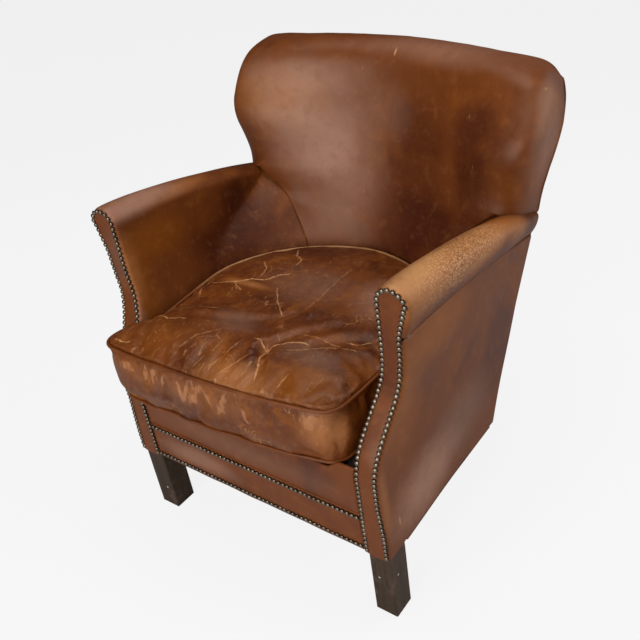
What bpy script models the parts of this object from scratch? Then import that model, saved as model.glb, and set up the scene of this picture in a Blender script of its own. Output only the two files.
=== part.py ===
"""Worn leather club chair with a barrel back, rolled arms and a loose seat cushion.

Metres, +Z up. The front faces -Y, and "right" is the +X side. The origin is on the
floor, under the middle of the chair's box. Depths are measured back from the face of
the front border, which stands at FRONT_Y.
"""
import math

import bmesh
import bpy

# ---- Driving dimensions -------------------------------------------------------------
FRONT_Y = -0.3070         # face of the front border
GAP = 0.0006              # clearance left between neighbouring pieces

LEG_SIDE = 0.045          # square section of a leg
LEG_TOP = 0.1509           # the covers and the arm posts stand just above
FRONT_LEG_X = 0.2705      # centre of a front leg
FRONT_LEG_DEPTH = 0.027
REAR_LEG_X = 0.1800       # the rear legs stand in under the curved back
REAR_LEG_DEPTH = 0.3750
REAR_LEG_RAKE = 0.030     # how far a rear leg's foot stands behind its top

HEM_Z = 0.1515            # lower edge of the covers
RAIL_BOTTOM = 0.1550
RAIL_TOP = 0.2350
RAIL_THICK = 0.025
BAND_SPLIT_Z = 0.2380     # seam between the two front bands
DECK_Z = 0.3200           # top of the seat deck
COVER = 0.004             # thickness of a plain outside cover
FACING = 0.008            # thickness of an arm facing or a front band

SEAT_HALF = 0.2440        # from the middle to an arm's inside face, at the deck
ARM_PAD = 0.010           # padding and cover on an arm's inside
ROLL_X = 0.3005           # centre of the arm's rolled top
ROLL_Z = 0.6220
ROLL_R = 0.0295
ARM_SET_BACK = 0.066      # the upper arm front stands this far behind the border
ARM_LEVEL = 0.088         # depth at which the arm's top begins to fall
ARM_DROP = 0.10           # its fall for each metre back from there
ARM_DIP = 0.25            # and for each square metre, as the fall steepens
ARM_MEETS_WING = 0.440    # depth at which the arm's top runs in under the back

BACK_TOP = 0.8230
BACK_LEDGE = 0.5900       # where the back spreads out over the arms
CREST_Z = 0.7850          # the padding is solid above this, over the crest rail
BACK_PAD = 0.030
SIDE_WALL = 0.015         # padding on the outer side of a back wing
WING_SHOULDER = 0.030     # roundness of a wing's front edge
WING_FLOOR = 0.010        # padding under a wing, over the arm
WING_SWELL = 0.006        # extra roundness at the wing's front edge
REAR_BULGE = 0.066        # how far the middle of the back stands behind its corners

BARREL_POWER = 1.8        # squareness of the curve round the back of the seat

CUSHION_ROOM = 0.0100     # from the cushion to the arms and the back
# The loose cushion has slewed: its left front corner stands out past the arm and its
# right front corner has drawn back. From right to left, as (x, depth).
CUSHION_FRONT = ((0.2360, 0.2000), (0.2230, 0.1050), (0.2120, 0.0350), (0.2020, 0.0130),
                 (0.1850, 0.0020), (0.1100, -0.0120), (0.0000, -0.0240), (-0.1200, -0.0295),
                 (-0.2180, -0.0310), (-0.2390, -0.0270), (-0.2470, -0.0195), (-0.2440, -0.0110),
                 (-0.2330, -0.0020), (-0.2330, 0.1100))
CUSHION_BOTTOM = 0.3220
CUSHION_EDGE = 0.4400     # upper seam of the cushion
CUSHION_CROWN = 0.4640
PIPING_R = 0.0030

LEATHER = ("leather", (0.26, 0.11, 0.055), 0.42)
SEAT_LEATHER = ("seat_leather", (0.30, 0.13, 0.06), 0.38)
PIPING_LEATHER = ("piping_leather", (0.17, 0.07, 0.04), 0.45)
LEG_WOOD = ("leg_wood", (0.075, 0.042, 0.034), 0.45)
FRAME_WOOD = ("frame_wood", (0.55, 0.40, 0.24), 0.70)
WEBBING = ("webbing", (0.42, 0.34, 0.22), 0.90)
DUST_CLOTH = ("dust_cloth", (0.03, 0.03, 0.032), 0.95)


# ---- Small helpers ------------------------------------------------------------------
def smooth(t):
    """0 below 0, 1 above 1, and an S curve between."""
    t = min(max(t, 0.0), 1.0)
    return t * t * (3.0 - 2.0 * t)


def mix(a, b, t):
    return a + (b - a) * t


def steps(low, high, count):
    """count + 1 even values from low to high."""
    return [mix(low, high, i / count) for i in range(count + 1)]


def material(finish):
    name, colour, roughness = finish
    found = bpy.data.materials.get(name)
    if found:
        return found
    made = bpy.data.materials.new(name)
    made.use_nodes = True
    shader = made.node_tree.nodes["Principled BSDF"]
    shader.inputs["Base Color"].default_value = (*colour, 1.0)
    shader.inputs["Roughness"].default_value = roughness
    shader.inputs["Metallic"].default_value = 0.0
    made.diffuse_color = (*colour, 1.0)
    return made


def add_body(name, points, faces, finish, side=1):
    """One closed body from (x, depth, z) points. side -1 mirrors it to the left."""
    mesh = bpy.data.meshes.new(name)
    mesh.from_pydata([(side * x, FRONT_Y + depth, z) for x, depth, z in points], [], faces)
    work = bmesh.new()
    work.from_mesh(mesh)
    bmesh.ops.recalc_face_normals(work, faces=work.faces)
    work.to_mesh(mesh)
    work.free()
    mesh.materials.append(material(finish))
    body = bpy.data.objects.new(name, mesh)
    bpy.context.collection.objects.link(body)
    return body


def grid_faces(rows, columns, start, closed=False):
    span = columns if closed else columns - 1
    faces = []
    for j in range(rows - 1):
        for i in range(span):
            a = start + j * columns + i
            b = start + j * columns + (i + 1) % columns
            faces.append((a, b, b + columns, a + columns))
    return faces


def thick_sheet(name, outer, inner, finish, side=1):
    """A sheet with a front and a back grid of the same size, closed round its rim."""
    rows, columns = len(outer), len(outer[0])
    points = [p for row in outer for p in row] + [p for row in inner for p in row]
    back = rows * columns
    faces = grid_faces(rows, columns, 0) + grid_faces(rows, columns, back)
    for j in range(rows - 1):
        for i in (0, columns - 1):
            a = j * columns + i
            faces.append((a, a + columns, a + columns + back, a + back))
    for i in range(columns - 1):
        for j in (0, rows - 1):
            a = j * columns + i
            faces.append((a, a + 1, a + 1 + back, a + back))
    return add_body(name, points, faces, finish, side)


def loft(name, rings, finish, side=1):
    """A body through closed rings, with a flat cap at each end."""
    columns = len(rings[0])
    points = [p for ring in rings for p in ring]
    faces = grid_faces(len(rings), columns, 0, closed=True)
    faces.append(tuple(range(columns)))
    faces.append(tuple(range(len(points) - columns, len(points))))
    return add_body(name, points, faces, finish, side)


def box(name, x, depth, z, finish, side=1):
    """A plain board between pairs of limits."""
    rings = [[(x[0], depth[0], h), (x[1], depth[0], h), (x[1], depth[1], h), (x[0], depth[1], h)]
             for h in z]
    return loft(name, rings, finish, side)


def ease_edges(body, width):
    bevel = body.modifiers.new("eased_edges", "BEVEL")
    bevel.width = width
    bevel.segments = 1
    bevel.limit_method = "ANGLE"


# ---- Shape of the chair -------------------------------------------------------------
def facing_depth(z):
    """The arm front is flush with the border below and swept back above."""
    return ARM_SET_BACK * smooth((z - 0.315) / 0.185)


def arm_inner_x(z):
    """Inside face of an arm, which leans outwards above the cushion."""
    if z > ROLL_Z:
        return ROLL_X - math.sqrt(max(ROLL_R ** 2 - (z - ROLL_Z) ** 2, 0.0))
    return SEAT_HALF + 0.027 * smooth((z - 0.35) / 0.19)


def arm_outer_x(z):
    """Outer edge of the arm front: a shallow waist, then out to the roll."""
    if z > ROLL_Z:
        return ROLL_X + math.sqrt(max(ROLL_R ** 2 - (z - ROLL_Z) ** 2, 0.0))
    waist = 0.295 - 0.006 * smooth((z - 0.19) / 0.10)
    flare = 0.0250 * smooth((z - 0.33) / 0.22)
    lip = 0.0160 * smooth((z - 0.555) / 0.085)
    return waist + flare + lip


def arm_levels(low, high):
    """Heights shared by every piece that follows the arm front's curve."""
    return [z for z in steps(HEM_Z, ROLL_Z, 22) if low - 0.001 < z < high + 0.001]


def arm_fall(depth):
    """How far the arm's top has fallen at this depth."""
    beyond = max(depth - ARM_LEVEL, 0.0)
    return ARM_DROP * beyond + ARM_DIP * beyond ** 2


def arm_height(z, depth):
    """Lower a height on the arm by the fall of the arm's top at this depth."""
    return z - arm_fall(depth) * min(max((z - 0.25) / 0.40, 0.0), 1.0) ** 2.5


def arm_end_depth(z, room):
    """Where an arm piece at this height stops, with room in front of the rear corner."""
    lowered = arm_height(z, corner_depth(z) - room)
    return corner_depth(lowered) - room


def side_x(z):
    """Half width of the back at its rear corners."""
    lower = 0.290 + 0.050 * (min(z, 0.55) - HEM_Z)
    return lower + 0.030 * smooth((z - 0.55) / 0.19) - 0.010 * smooth((z - 0.75) / 0.06)


def corner_depth(z):
    """Depth of the chair's rear corners, raked more at the waist than above it."""
    lift = min(z, 0.55) - HEM_Z
    return 0.385 + 0.280 * lift + 0.240 * lift ** 2 + 0.220 * max(z - 0.55, 0.0)


def rear_depth(x, z):
    """Outer face of the curved outside back."""
    return corner_depth(z) + REAR_BULGE * (1.0 - (x / side_x(z)) ** 2)


def back_face_depth(z):
    """Middle of the inside back's face."""
    return 0.462 + 0.288 * (z - 0.44)


def seat_barrel(z):
    """Half width, middle and forward end of the curve round the back of the seat."""
    forward = 0.250 + 0.200 * smooth((z - 0.44) / 0.145) + 0.288 * min(z - 0.44, 0.0)
    return arm_inner_x(z), back_face_depth(z), forward


def barrel_point(half, middle, end, angle):
    """Point of a barrel-shaped plan curve: 0 is its middle, pi / 2 its end at x = half."""
    x = half * math.sin(angle) ** (2.0 / BARREL_POWER)
    depth = end + (middle - end) * max(math.cos(angle), 0.0) ** (2.0 / BARREL_POWER)
    return x, depth


def barrel(half, middle, end, count):
    """Half of a barrel-shaped plan curve, from the middle to x = half."""
    return [barrel_point(half, middle, end, math.pi / 2 * i / count) for i in range(count + 1)]


def seam_angle(z):
    """Where round the barrel the inside arm meets the inside back."""
    seam_x = 0.145 + 0.125 * min(max((z - 0.43) / 0.152, 0.0), 1.0) ** 1.6
    return math.asin(min(seam_x / arm_inner_x(z), 1.0) ** (BARREL_POWER / 2.0))


def mirrored(half):
    """A whole plan curve, left to right, from its right half."""
    return [(-x, depth) for x, depth in reversed(half[1:])] + list(half)


# ---- Legs and frame -----------------------------------------------------------------
def make_leg(name, x, depth, rake, side):
    half = LEG_SIDE / 2
    rings = []
    for z, shift in ((0.0, rake), (LEG_TOP, 0.0)):
        y = depth + shift
        rings.append([(x - half, y - half, z), (x + half, y - half, z),
                      (x + half, y + half, z), (x - half, y + half, z)])
    ease_edges(loft(name, rings, LEG_WOOD, side), 0.0015)


def make_seat_rails():
    front_inside = FACING + GAP + RAIL_THICK
    rail_in = SEAT_HALF + 0.0115
    box("rail_front", (-rail_in + GAP, rail_in - GAP), (FACING + GAP, front_inside),
        (RAIL_BOTTOM, RAIL_TOP), FRAME_WOOD)
    for side, word in ((-1, "left"), (1, "right")):
        box("rail_side_" + word, (rail_in, rail_in + RAIL_THICK), (0.0560, 0.3340),
            (RAIL_BOTTOM, RAIL_TOP), FRAME_WOOD, side)
    outer, inner = [], []
    for z in (RAIL_BOTTOM, RAIL_TOP):
        lean = rear_depth(0.0, RAIL_BOTTOM) - rear_depth(0.0, HEM_Z)
        across = steps(-0.2400, 0.2400, 12)
        outer.append([(x, rear_depth(x, HEM_Z) + lean - COVER - 0.004, z) for x in across])
        inner.append([(x, rear_depth(x, HEM_Z) + lean - COVER - 0.004 - RAIL_THICK, z) for x in across])
    thick_sheet("rail_rear", outer, inner, FRAME_WOOD)


def make_corner_blocks():
    """Three-cornered glue blocks inside the seat frame."""
    reach = 0.050
    x = SEAT_HALF + 0.0110
    front = FACING + 2 * GAP + RAIL_THICK
    for side, word in ((-1, "left"), (1, "right")):
        plan = [(x, front), (x - reach, front), (x, front + reach)]
        rings = [[(px, py, z) for px, py in plan] for z in (0.1600, 0.2300)]
        loft("corner_block_front_" + word, rings, FRAME_WOOD, side)
        rear = 0.3660
        plan = [(x, rear), (x - reach, rear + 0.004), (x, rear - reach)]
        rings = [[(px, py, z) for px, py in plan] for z in (0.1600, 0.2300)]
        loft("corner_block_rear_" + word, rings, FRAME_WOOD, side)


def make_arm_frame(side, word):
    rings = []
    for z in arm_levels(HEM_Z, 0.5450):
        low = arm_inner_x(z) + ARM_PAD + 0.0015
        high = min(arm_outer_x(z) - COVER - 0.0015, low + 0.028)
        near = facing_depth(z) + FACING + 0.002
        far = near + 0.043
        rings.append([(low, near, z), (high, near, z), (high, far, z), (low, far, z)])
    loft("arm_post_" + word, rings, FRAME_WOOD, side)
    rings = []
    for depth in (0.0780, 0.4600):
        low, high = (arm_height(z, depth) for z in (0.5680, 0.6080))
        rings.append([(0.2830, depth, low), (0.3010, depth, low),
                      (0.3010, depth, high), (0.2830, depth, high)])
    loft("arm_rail_" + word, rings, FRAME_WOOD, side)


def post_x(z):
    """Middle of a back post, which spreads a little as it rises."""
    return 0.2720 + 0.0300 * (z - HEM_Z)


def make_back_frame():
    """Posts in two lengths, joined where the back spreads over the arms, and two rails."""
    lengths = (("back_post_", steps(HEM_Z, 0.5500, 4) + [0.5540]), ("wing_post_", [0.6000, 0.7750]))
    for side, word in ((-1, "left"), (1, "right")):
        for name, heights in lengths:
            rings = []
            for z in heights:
                x, far = post_x(z), corner_depth(z) - 0.008
                rings.append([(x - 0.012, far - 0.038, z), (x + 0.012, far - 0.038, z),
                              (x + 0.012, far, z), (x - 0.012, far, z)])
            loft(name + word, rings, FRAME_WOOD, side)
    for name, low, high in (("back_lower_rail", 0.3550, 0.4000), ("crest_rail", 0.7250, 0.7750)):
        outer, inner = [], []
        for z in (low, high):
            half = post_x(z) - 0.014
            across = steps(-half, half, 12)
            outer.append([(x, rear_depth(x, z) - 0.012, z) for x in across])
            inner.append([(x, rear_depth(x, z) - 0.034, z) for x in across])
        thick_sheet(name, outer, inner, FRAME_WOOD)


# ---- Webbing and dust cover ---------------------------------------------------------
def make_webbing():
    thick, width = 0.0018, 0.050
    for number, depth in enumerate((0.095, 0.195, 0.295), start=1):
        box("seat_strap_cross_%d" % number, (-0.2780, 0.2780), (depth - width / 2, depth + width / 2),
            (RAIL_TOP + GAP, RAIL_TOP + GAP + thick), WEBBING)
    upper = RAIL_TOP + 2 * GAP + thick
    for number, x in enumerate((-0.130, 0.0, 0.130), start=1):
        far = rear_depth(abs(x) + width / 2, HEM_Z) - 0.012
        box("seat_strap_long_%d" % number, (x - width / 2, x + width / 2), (0.0100, far),
            (upper, upper + thick), WEBBING)
    for number, x in enumerate((-0.140, 0.0, 0.140), start=1):
        outer, inner = [], []
        for z in steps(0.3600, 0.7750, 6):
            across = (x - width / 2, x + width / 2)
            outer.append([(px, rear_depth(px, z) - 0.0350, z) for px in across])
            inner.append([(px, rear_depth(px, z) - 0.0350 - thick, z) for px in across])
        thick_sheet("back_strap_%d" % number, outer, inner, WEBBING)


def make_dust_cover():
    """Thin cloth under the seat, notched round the arm posts and the back posts."""
    near, notch, narrow, wide = 0.0100, 0.0560, 0.2500, 0.2780
    plan = [(narrow, near), (narrow, notch), (wide, notch), (wide, 0.3340), (narrow, 0.3340)]
    plan += [(x, rear_depth(x, HEM_Z) - 0.012) for x in (narrow, 0.2000, 0.1500, 0.1000, 0.0500)]
    whole = plan + [(0.0, rear_depth(0.0, HEM_Z) - 0.012)] + [(-x, d) for x, d in reversed(plan)]
    rings = [[(x, d, z) for x, d in whole] for z in (HEM_Z + 0.0012, HEM_Z + 0.0027)]
    loft("dust_cover", rings, DUST_CLOTH)


# ---- Covers and padding -------------------------------------------------------------
def make_facing(side, word):
    """Serpentine front panel of an arm."""
    heights = arm_levels(HEM_Z, ROLL_Z) + [ROLL_Z + ROLL_R * math.sin(math.radians(a))
                                          for a in (20, 40, 58, 72, 84)]
    outer = [[(x, facing_depth(z), z) for x in (arm_inner_x(z), arm_outer_x(z))] for z in heights]
    inner = [[(x, depth + FACING, z) for x, depth, z in row] for row in outer]
    thick_sheet("arm_facing_" + word, outer, inner, LEATHER, side)


def arm_pad_section(offset):
    """Hooked section of the inside arm: up the inside, over the roll and under its lip."""
    section = [(arm_inner_x(z) + offset, z) for z in arm_levels(0.2500, ROLL_Z)]
    radius = ROLL_R - offset
    for angle in steps(165, 0, 8):
        section.append((ROLL_X + radius * math.cos(math.radians(angle)),
                        ROLL_Z + radius * math.sin(math.radians(angle))))
    section.append((mix(0.3250, ROLL_X + radius, 0.5) - offset * 0.4, 0.5930))
    section.append((0.3140 - offset * 0.9, 0.5640 + offset * 0.4))
    return section


def arm_pad_point(x, z, t, offset):
    """Point of the inside arm: straight back, then round the barrel to its seam."""
    near = facing_depth(z) + FACING + GAP
    outside = x > ROLL_X
    far = arm_end_depth(z, 0.0075 if outside else 0.052)
    lowered = arm_height(z, arm_end_depth(z, 0.052) - 0.030)
    _, middle, forward = seat_barrel(lowered)
    last = seam_angle(lowered) + 0.022
    turn = min(forward, far - 0.012)
    if outside:
        x -= 0.40 * (x - ROLL_X) * t ** 2
    if t <= 0.5:
        depth = mix(near, turn, 2.0 * t)
    elif outside or last > math.pi / 2:
        depth = mix(turn, far, 2.0 * t - 1.0)
    else:
        x, depth = barrel_point(x, middle + offset, forward, mix(math.pi / 2, last, 2.0 * t - 1.0))
    return x, depth, arm_height(z, depth)


def make_arm_pad(side, word):
    grids = []
    for offset in (0.0, ARM_PAD):
        section = arm_pad_section(offset)
        rows = []
        for t in steps(0.0, 0.5, 4) + steps(0.5, 1.0, 9)[1:]:
            rows.append([arm_pad_point(x, z, t, offset) for x, z in section])
        grids.append(rows)
    thick_sheet("inside_arm_" + word, grids[0], grids[1], LEATHER, side)


def make_outside_arm(side, word):
    outer, inner = [], []
    for t in steps(0.0, 1.0, 5):
        face, back = [], []
        for z in arm_levels(HEM_Z, 0.5590):
            depth = mix(facing_depth(z) + FACING + GAP, arm_end_depth(z, COVER + 0.0020), t)
            x = mix(arm_outer_x(z), side_x(z), smooth(t * 1.6))
            face.append((x, depth, arm_height(z, depth)))
            back.append((x - COVER, depth, arm_height(z, depth)))
        outer.append(face)
        inner.append(back)
    thick_sheet("outside_arm_" + word, outer, inner, LEATHER, side)


def make_front_bands():
    half = SEAT_HALF - GAP
    bands = (("front_band_lower", HEM_Z, BAND_SPLIT_Z - GAP), ("front_band_upper", BAND_SPLIT_Z, DECK_Z))
    for name, low, high in bands:
        box(name, (-half, half), (0.0, FACING), (low, high), LEATHER)


def make_seat_deck():
    rings = []
    for z in (RAIL_TOP + 0.0056, DECK_Z):
        half, middle, forward = (value - 0.008 for value in seat_barrel(z))
        plan = mirrored(barrel(half, middle, forward, 8))
        plan += [(half, FACING + GAP), (-half, FACING + GAP)]
        rings.append([(x, depth, z) for x, depth in plan])
    loft("seat_deck", rings, DUST_CLOTH)


def back_plan(z, offset, wide):
    """Half plan curve of the inside back's face, or of the hollow behind it."""
    if not wide:
        half, middle, forward = seat_barrel(z)
        curve = [barrel_point(half - GAP, middle + offset, forward + offset, angle)
                 for angle in steps(0.0, seam_angle(z), 9)]
        x, depth = curve.pop()
        tuck = 0.0030 if offset else 0.0
        return curve + [(x - tuck * (1.0 - t), depth + 0.0030 * t) for t in steps(0.0, 1.0, 5)]
    hollow = offset > 0.0
    middle = back_face_depth(z) + offset
    wing = side_x(z) - (SIDE_WALL if hollow else 0.0)
    shoulder = 0.012 if hollow else WING_SHOULDER
    sag = 0.062 + 0.023 * smooth((z - BACK_LEDGE) / 0.14) - 0.018 * smooth((z - 0.735) / 0.05)
    clear_of_post = corner_depth(z) - 0.048
    curve = []
    for x in steps(0.0, wing - shoulder, 8):
        depth = middle - sag * (0.6 if hollow else 1.0) * (x / (wing - shoulder)) ** 2
        limit = clear_of_post + 0.4 * max(0.262 - x, 0.0)
        curve.append((x, min(depth, limit) if hollow else depth))
    start = curve[-1][1]
    for angle in (22, 45, 67, 90):
        a = math.radians(angle)
        swell = WING_SWELL * math.sin(2 * a)
        curve.append((wing - shoulder * (1.0 - math.sin(a)), start - swell + shoulder * (1.0 - math.cos(a))))
    end = corner_depth(z) - COVER - 0.0015
    curve.append((wing, mix(curve[-1][1], end, 0.5)))
    curve.append((wing, end))
    return curve


def wing_sink(x, depth):
    """How far the foot of a wing reaches down behind, to stay on the arm's falling top."""
    fall = max(arm_fall(depth) - arm_fall(ARM_MEETS_WING), 0.0)
    return fall * smooth((abs(x) - 0.283) / 0.020)


def make_inside_back():
    """Padded barrel back: low between the arms, wide above them, rolled over the top."""
    outer, inner = [], []
    for grid, offset, ledge in ((outer, 0.0, BACK_LEDGE), (inner, BACK_PAD, BACK_LEDGE + WING_FLOOR)):
        for z in steps(DECK_Z + 0.0010, 0.5600, 8) + [ledge - 0.0010]:
            grid.append([(x, d, z) for x, d in mirrored(back_plan(z, offset, False))])
        for z in steps(ledge, CREST_Z, 7):
            settle = 0.0 if offset else ((CREST_Z - z) / (CREST_Z - ledge)) ** 2
            row = []
            for k, (x, depth) in enumerate(mirrored(back_plan(z, offset, True))):
                sunk = z - settle * wing_sink(x, depth)
                row.append((*mirrored(back_plan(sunk, offset, True))[k], sunk))
            grid.append(row)
    half = side_x(CREST_Z)
    front = mirrored(back_plan(CREST_Z, 0.0, True))
    rear = [(x, rear_depth(x, CREST_Z) - GAP * (1.0 - abs(x) / half))
            for x in steps(-half, half, len(front) - 1)]
    for angle in (0.5, 20, 40, 60, 78, 90):
        lift, shrink = math.sin(math.radians(angle)), 1.0 - math.cos(math.radians(angle))
        for grid, near, far, share in ((outer, front, rear, 0.62), (inner, rear, front, 0.38)):
            row = []
            for (x, depth), (to_x, to_depth) in zip(near, far):
                drawn = 0.85 * shrink * share
                drop = mix(0.028, 0.012, smooth((depth - 0.47) / 0.10)) * smooth((abs(x) - 0.20) / 0.18)
                z = CREST_Z + 0.0005 + lift * (BACK_TOP - CREST_Z - 0.0005 - drop)
                row.append((mix(x, to_x, drawn) * (1.0 - 0.04 * shrink), mix(depth, to_depth, drawn), z))
            grid.append(row)
    thick_sheet("inside_back", outer, inner, LEATHER)


def make_outside_back():
    outer, inner = [], []
    for z in steps(HEM_Z, 0.55, 5) + steps(BACK_LEDGE, CREST_Z - 0.001, 5):
        half = side_x(z)
        across = steps(-half, half, 14)
        outer.append([(x, rear_depth(x, z), z) for x in across])
        inner.append([(x * 0.999, rear_depth(x, z) - COVER, z) for x in across])
    thick_sheet("outside_back", outer, inner, LEATHER)


# ---- Cushion, piping and welts ------------------------------------------------------
def cushion_plan(z, inset):
    """Plan of the seat cushion at a height, drawn in evenly by the inset."""
    side, middle, forward = seat_barrel(min(z, CUSHION_EDGE))
    room = CUSHION_ROOM
    rear = barrel(side - room, middle - room, forward - room, 9)
    plan = rear + list(CUSHION_FRONT) + [(-x, depth) for x, depth in reversed(rear[1:])]
    centre, shrink = 0.200, 1.0 - inset / 0.240
    return [(x * shrink, centre + (depth - centre) * shrink) for x, depth in plan]


def make_cushion():
    rise = CUSHION_CROWN - CUSHION_EDGE
    levels = ((CUSHION_BOTTOM, 0.012), (CUSHION_BOTTOM + 0.006, 0.001), (0.3520, 0.0), (0.3820, 0.0),
              (0.4120, 0.0), (CUSHION_EDGE - 0.006, 0.001), (CUSHION_EDGE, 0.006),
              (CUSHION_EDGE + rise * 0.45, 0.035), (CUSHION_EDGE + rise * 0.8, 0.080),
              (CUSHION_CROWN, 0.140))
    rings = [[(x, depth, z) for x, depth in cushion_plan(z, inset)] for z, inset in levels]
    loft("seat_cushion", rings, SEAT_LEATHER)


def tube(name, path, radius, finish, closed, side=1):
    """A round cord along a path of (x, depth, z) points."""
    count = len(path)
    sides = 6
    rings = []
    for k, (x, depth, z) in enumerate(path):
        before = path[k - 1] if closed or k else path[k]
        after = path[(k + 1) % count] if closed or k < count - 1 else path[k]
        along = (after[0] - before[0], after[1] - before[1])
        length = math.hypot(*along)
        across = (along[1] / length, -along[0] / length)
        ring = []
        for s in range(sides):
            a = 2 * math.pi * s / sides
            out = radius * math.cos(a)
            ring.append((x + across[0] * out, depth + across[1] * out, z + radius * math.sin(a)))
        rings.append(ring)
    if not closed:
        return loft(name, rings, finish, side)
    points = [p for ring in rings for p in ring]
    faces = []
    for k in range(count):
        for s in range(sides):
            a, b = k * sides, ((k + 1) % count) * sides
            t = (s + 1) % sides
            faces.append((a + s, a + t, b + t, b + s))
    return add_body(name, points, faces, finish, side)


def outset(plan, distance):
    """A clockwise closed plan moved outwards."""
    moved = []
    for k, (x, depth) in enumerate(plan):
        before, after = plan[k - 1], plan[(k + 1) % len(plan)]
        along = (after[0] - before[0], after[1] - before[1])
        reach = distance / math.hypot(*along)
        moved.append((x - along[1] * reach, depth + along[0] * reach))
    return moved


def make_cushion_piping():
    for name, z in (("cushion_piping_bottom", CUSHION_BOTTOM + 0.0065), ("cushion_piping_top", 0.4345)):
        plan = outset(cushion_plan(z, 0.0), PIPING_R + 0.0012)
        tube(name, [(x, depth, z) for x, depth in plan], PIPING_R, PIPING_LEATHER, True)


def make_hem_welts():
    """Thin welts along the lower edge of the sides and the back."""
    radius, drop = 0.0022, HEM_Z - 0.0026
    for side, word in ((-1, "left"), (1, "right")):
        path = []
        for t in steps(0.13, 0.97, 10):
            depth = mix(FACING, corner_depth(HEM_Z) - COVER, t)
            x = mix(arm_outer_x(HEM_Z), side_x(HEM_Z), smooth(t * 1.6))
            path.append((x - 0.0022, depth, drop))
        if side < 0:
            path.reverse()
        tube("hem_welt_" + word, path, radius, PIPING_LEATHER, False, side)
    across = steps(-0.2800, 0.2800, 14)
    tube("hem_welt_back", [(x, rear_depth(x, HEM_Z) - 0.0024, drop) for x in across], radius,
         PIPING_LEATHER, False)


# ---- Build --------------------------------------------------------------------------
def main():
    for old in list(bpy.data.objects):
        bpy.data.objects.remove(old)
    for side, word in ((-1, "left"), (1, "right")):
        make_leg("leg_front_" + word, FRONT_LEG_X, FRONT_LEG_DEPTH, 0.0, side)
        make_leg("leg_rear_" + word, REAR_LEG_X, REAR_LEG_DEPTH, REAR_LEG_RAKE, side)
        make_arm_frame(side, word)
        make_facing(side, word)
        make_arm_pad(side, word)
        make_outside_arm(side, word)
    make_seat_rails()
    make_corner_blocks()
    make_back_frame()
    make_webbing()
    make_dust_cover()
    make_front_bands()
    make_seat_deck()
    make_inside_back()
    make_outside_back()
    make_cushion()
    make_cushion_piping()
    make_hem_welts()


main()
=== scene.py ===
"""Looks of a worn leather club chair, made round its packed construction model.

Metres, +Z up, the front facing -Y and "right" on the +X side, as in the model. Depths are
measured back from the face of the front border. Laid out as an add-on: one operator for
each group of pieces, sizes and colours as properties, and one panel that lists them.
"""
import math
import random

import bmesh
import bpy
import numpy as np
from mathutils import Matrix, Vector, noise


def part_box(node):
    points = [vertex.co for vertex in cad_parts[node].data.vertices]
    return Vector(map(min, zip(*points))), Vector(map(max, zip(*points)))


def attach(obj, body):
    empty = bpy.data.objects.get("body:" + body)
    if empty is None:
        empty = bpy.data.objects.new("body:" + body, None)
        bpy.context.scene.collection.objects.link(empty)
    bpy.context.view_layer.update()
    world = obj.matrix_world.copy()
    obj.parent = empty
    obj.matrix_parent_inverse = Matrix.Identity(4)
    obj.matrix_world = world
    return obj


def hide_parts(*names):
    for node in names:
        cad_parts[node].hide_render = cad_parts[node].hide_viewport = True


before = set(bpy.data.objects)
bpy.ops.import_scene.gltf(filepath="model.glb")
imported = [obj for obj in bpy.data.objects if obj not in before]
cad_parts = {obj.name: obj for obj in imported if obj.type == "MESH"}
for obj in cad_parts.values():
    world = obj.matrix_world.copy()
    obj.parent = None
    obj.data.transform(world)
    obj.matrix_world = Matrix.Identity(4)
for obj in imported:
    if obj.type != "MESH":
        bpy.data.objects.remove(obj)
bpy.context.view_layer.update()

bl_info = {
    "name": "Worn Club Chair",
    "version": (1, 0, 0),
    "blender": (4, 5, 0),
    "location": "3D View > Sidebar > Club Chair",
    "description": "Covers, cushion, nails and finishes of a worn leather club chair",
    "category": "Add Mesh",
}

# ---- Sizes read from the model --------------------------------------------------------
BORDER_LOW, BORDER_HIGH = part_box("front_band_lower")
UPPER_LOW, UPPER_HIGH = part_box("front_band_upper")
FRONT_Y = BORDER_LOW.y
HEM_Z = BORDER_LOW.z
FACING = BORDER_HIGH.y - FRONT_Y
BAND_SPLIT_Z = UPPER_LOW.z
DECK_Z = UPPER_HIGH.z
BACK_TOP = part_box("inside_back")[1].z
DUST_LOW, DUST_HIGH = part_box("dust_cover")
DECK_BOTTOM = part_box("seat_deck")[0].z

# ---- Sizes shared with the construction -----------------------------------------------
GAP = 0.0006              # left between covers that meet
SEAT_HALF = 0.2440        # from the middle to an arm's inside face, at the deck
ROLL_X = 0.3005           # centre of the arm's rolled top
ROLL_Z = 0.6220
ROLL_R = 0.0295
LIP_X, LIP_Z = 0.3140, 0.5640     # where the arm's cover ends under its roll
ARM_SET_BACK = 0.066      # from the border's face back to the top of the arm's front
ARM_LEVEL = 0.088         # depth to which the arm's top stays level
ARM_DROP = 0.10           # its slope beyond that,
ARM_DIP = 0.25            # and how that slope steepens
ARM_MEETS_WING = 0.440    # depth at which the arm's top runs in under the back
BACK_LEDGE = 0.5865       # where the back spreads out over the arms
CREST_Z = 0.7850          # where the back's face turns over its top
REAR_BULGE = 0.066        # from the rear corners back to the middle of the curved back
BARREL_POWER = 1.8        # squareness of the seat's curve in plan, 2 being an ellipse
COVER = 0.004             # thickness of a plain outside cover
CUSHION_ROOM = 0.0100     # between the cushion and the arms and back
CUSHION_BOTTOM = 0.3220
CUSHION_EDGE = 0.4400     # where the cushion's top starts to crown
CUSHION_CROWN = 0.4640    # middle of its top before it is blown up
LOWER_SEAM_Z = CUSHION_BOTTOM + 0.0065
UPPER_SEAM_Z = 0.4345
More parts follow.
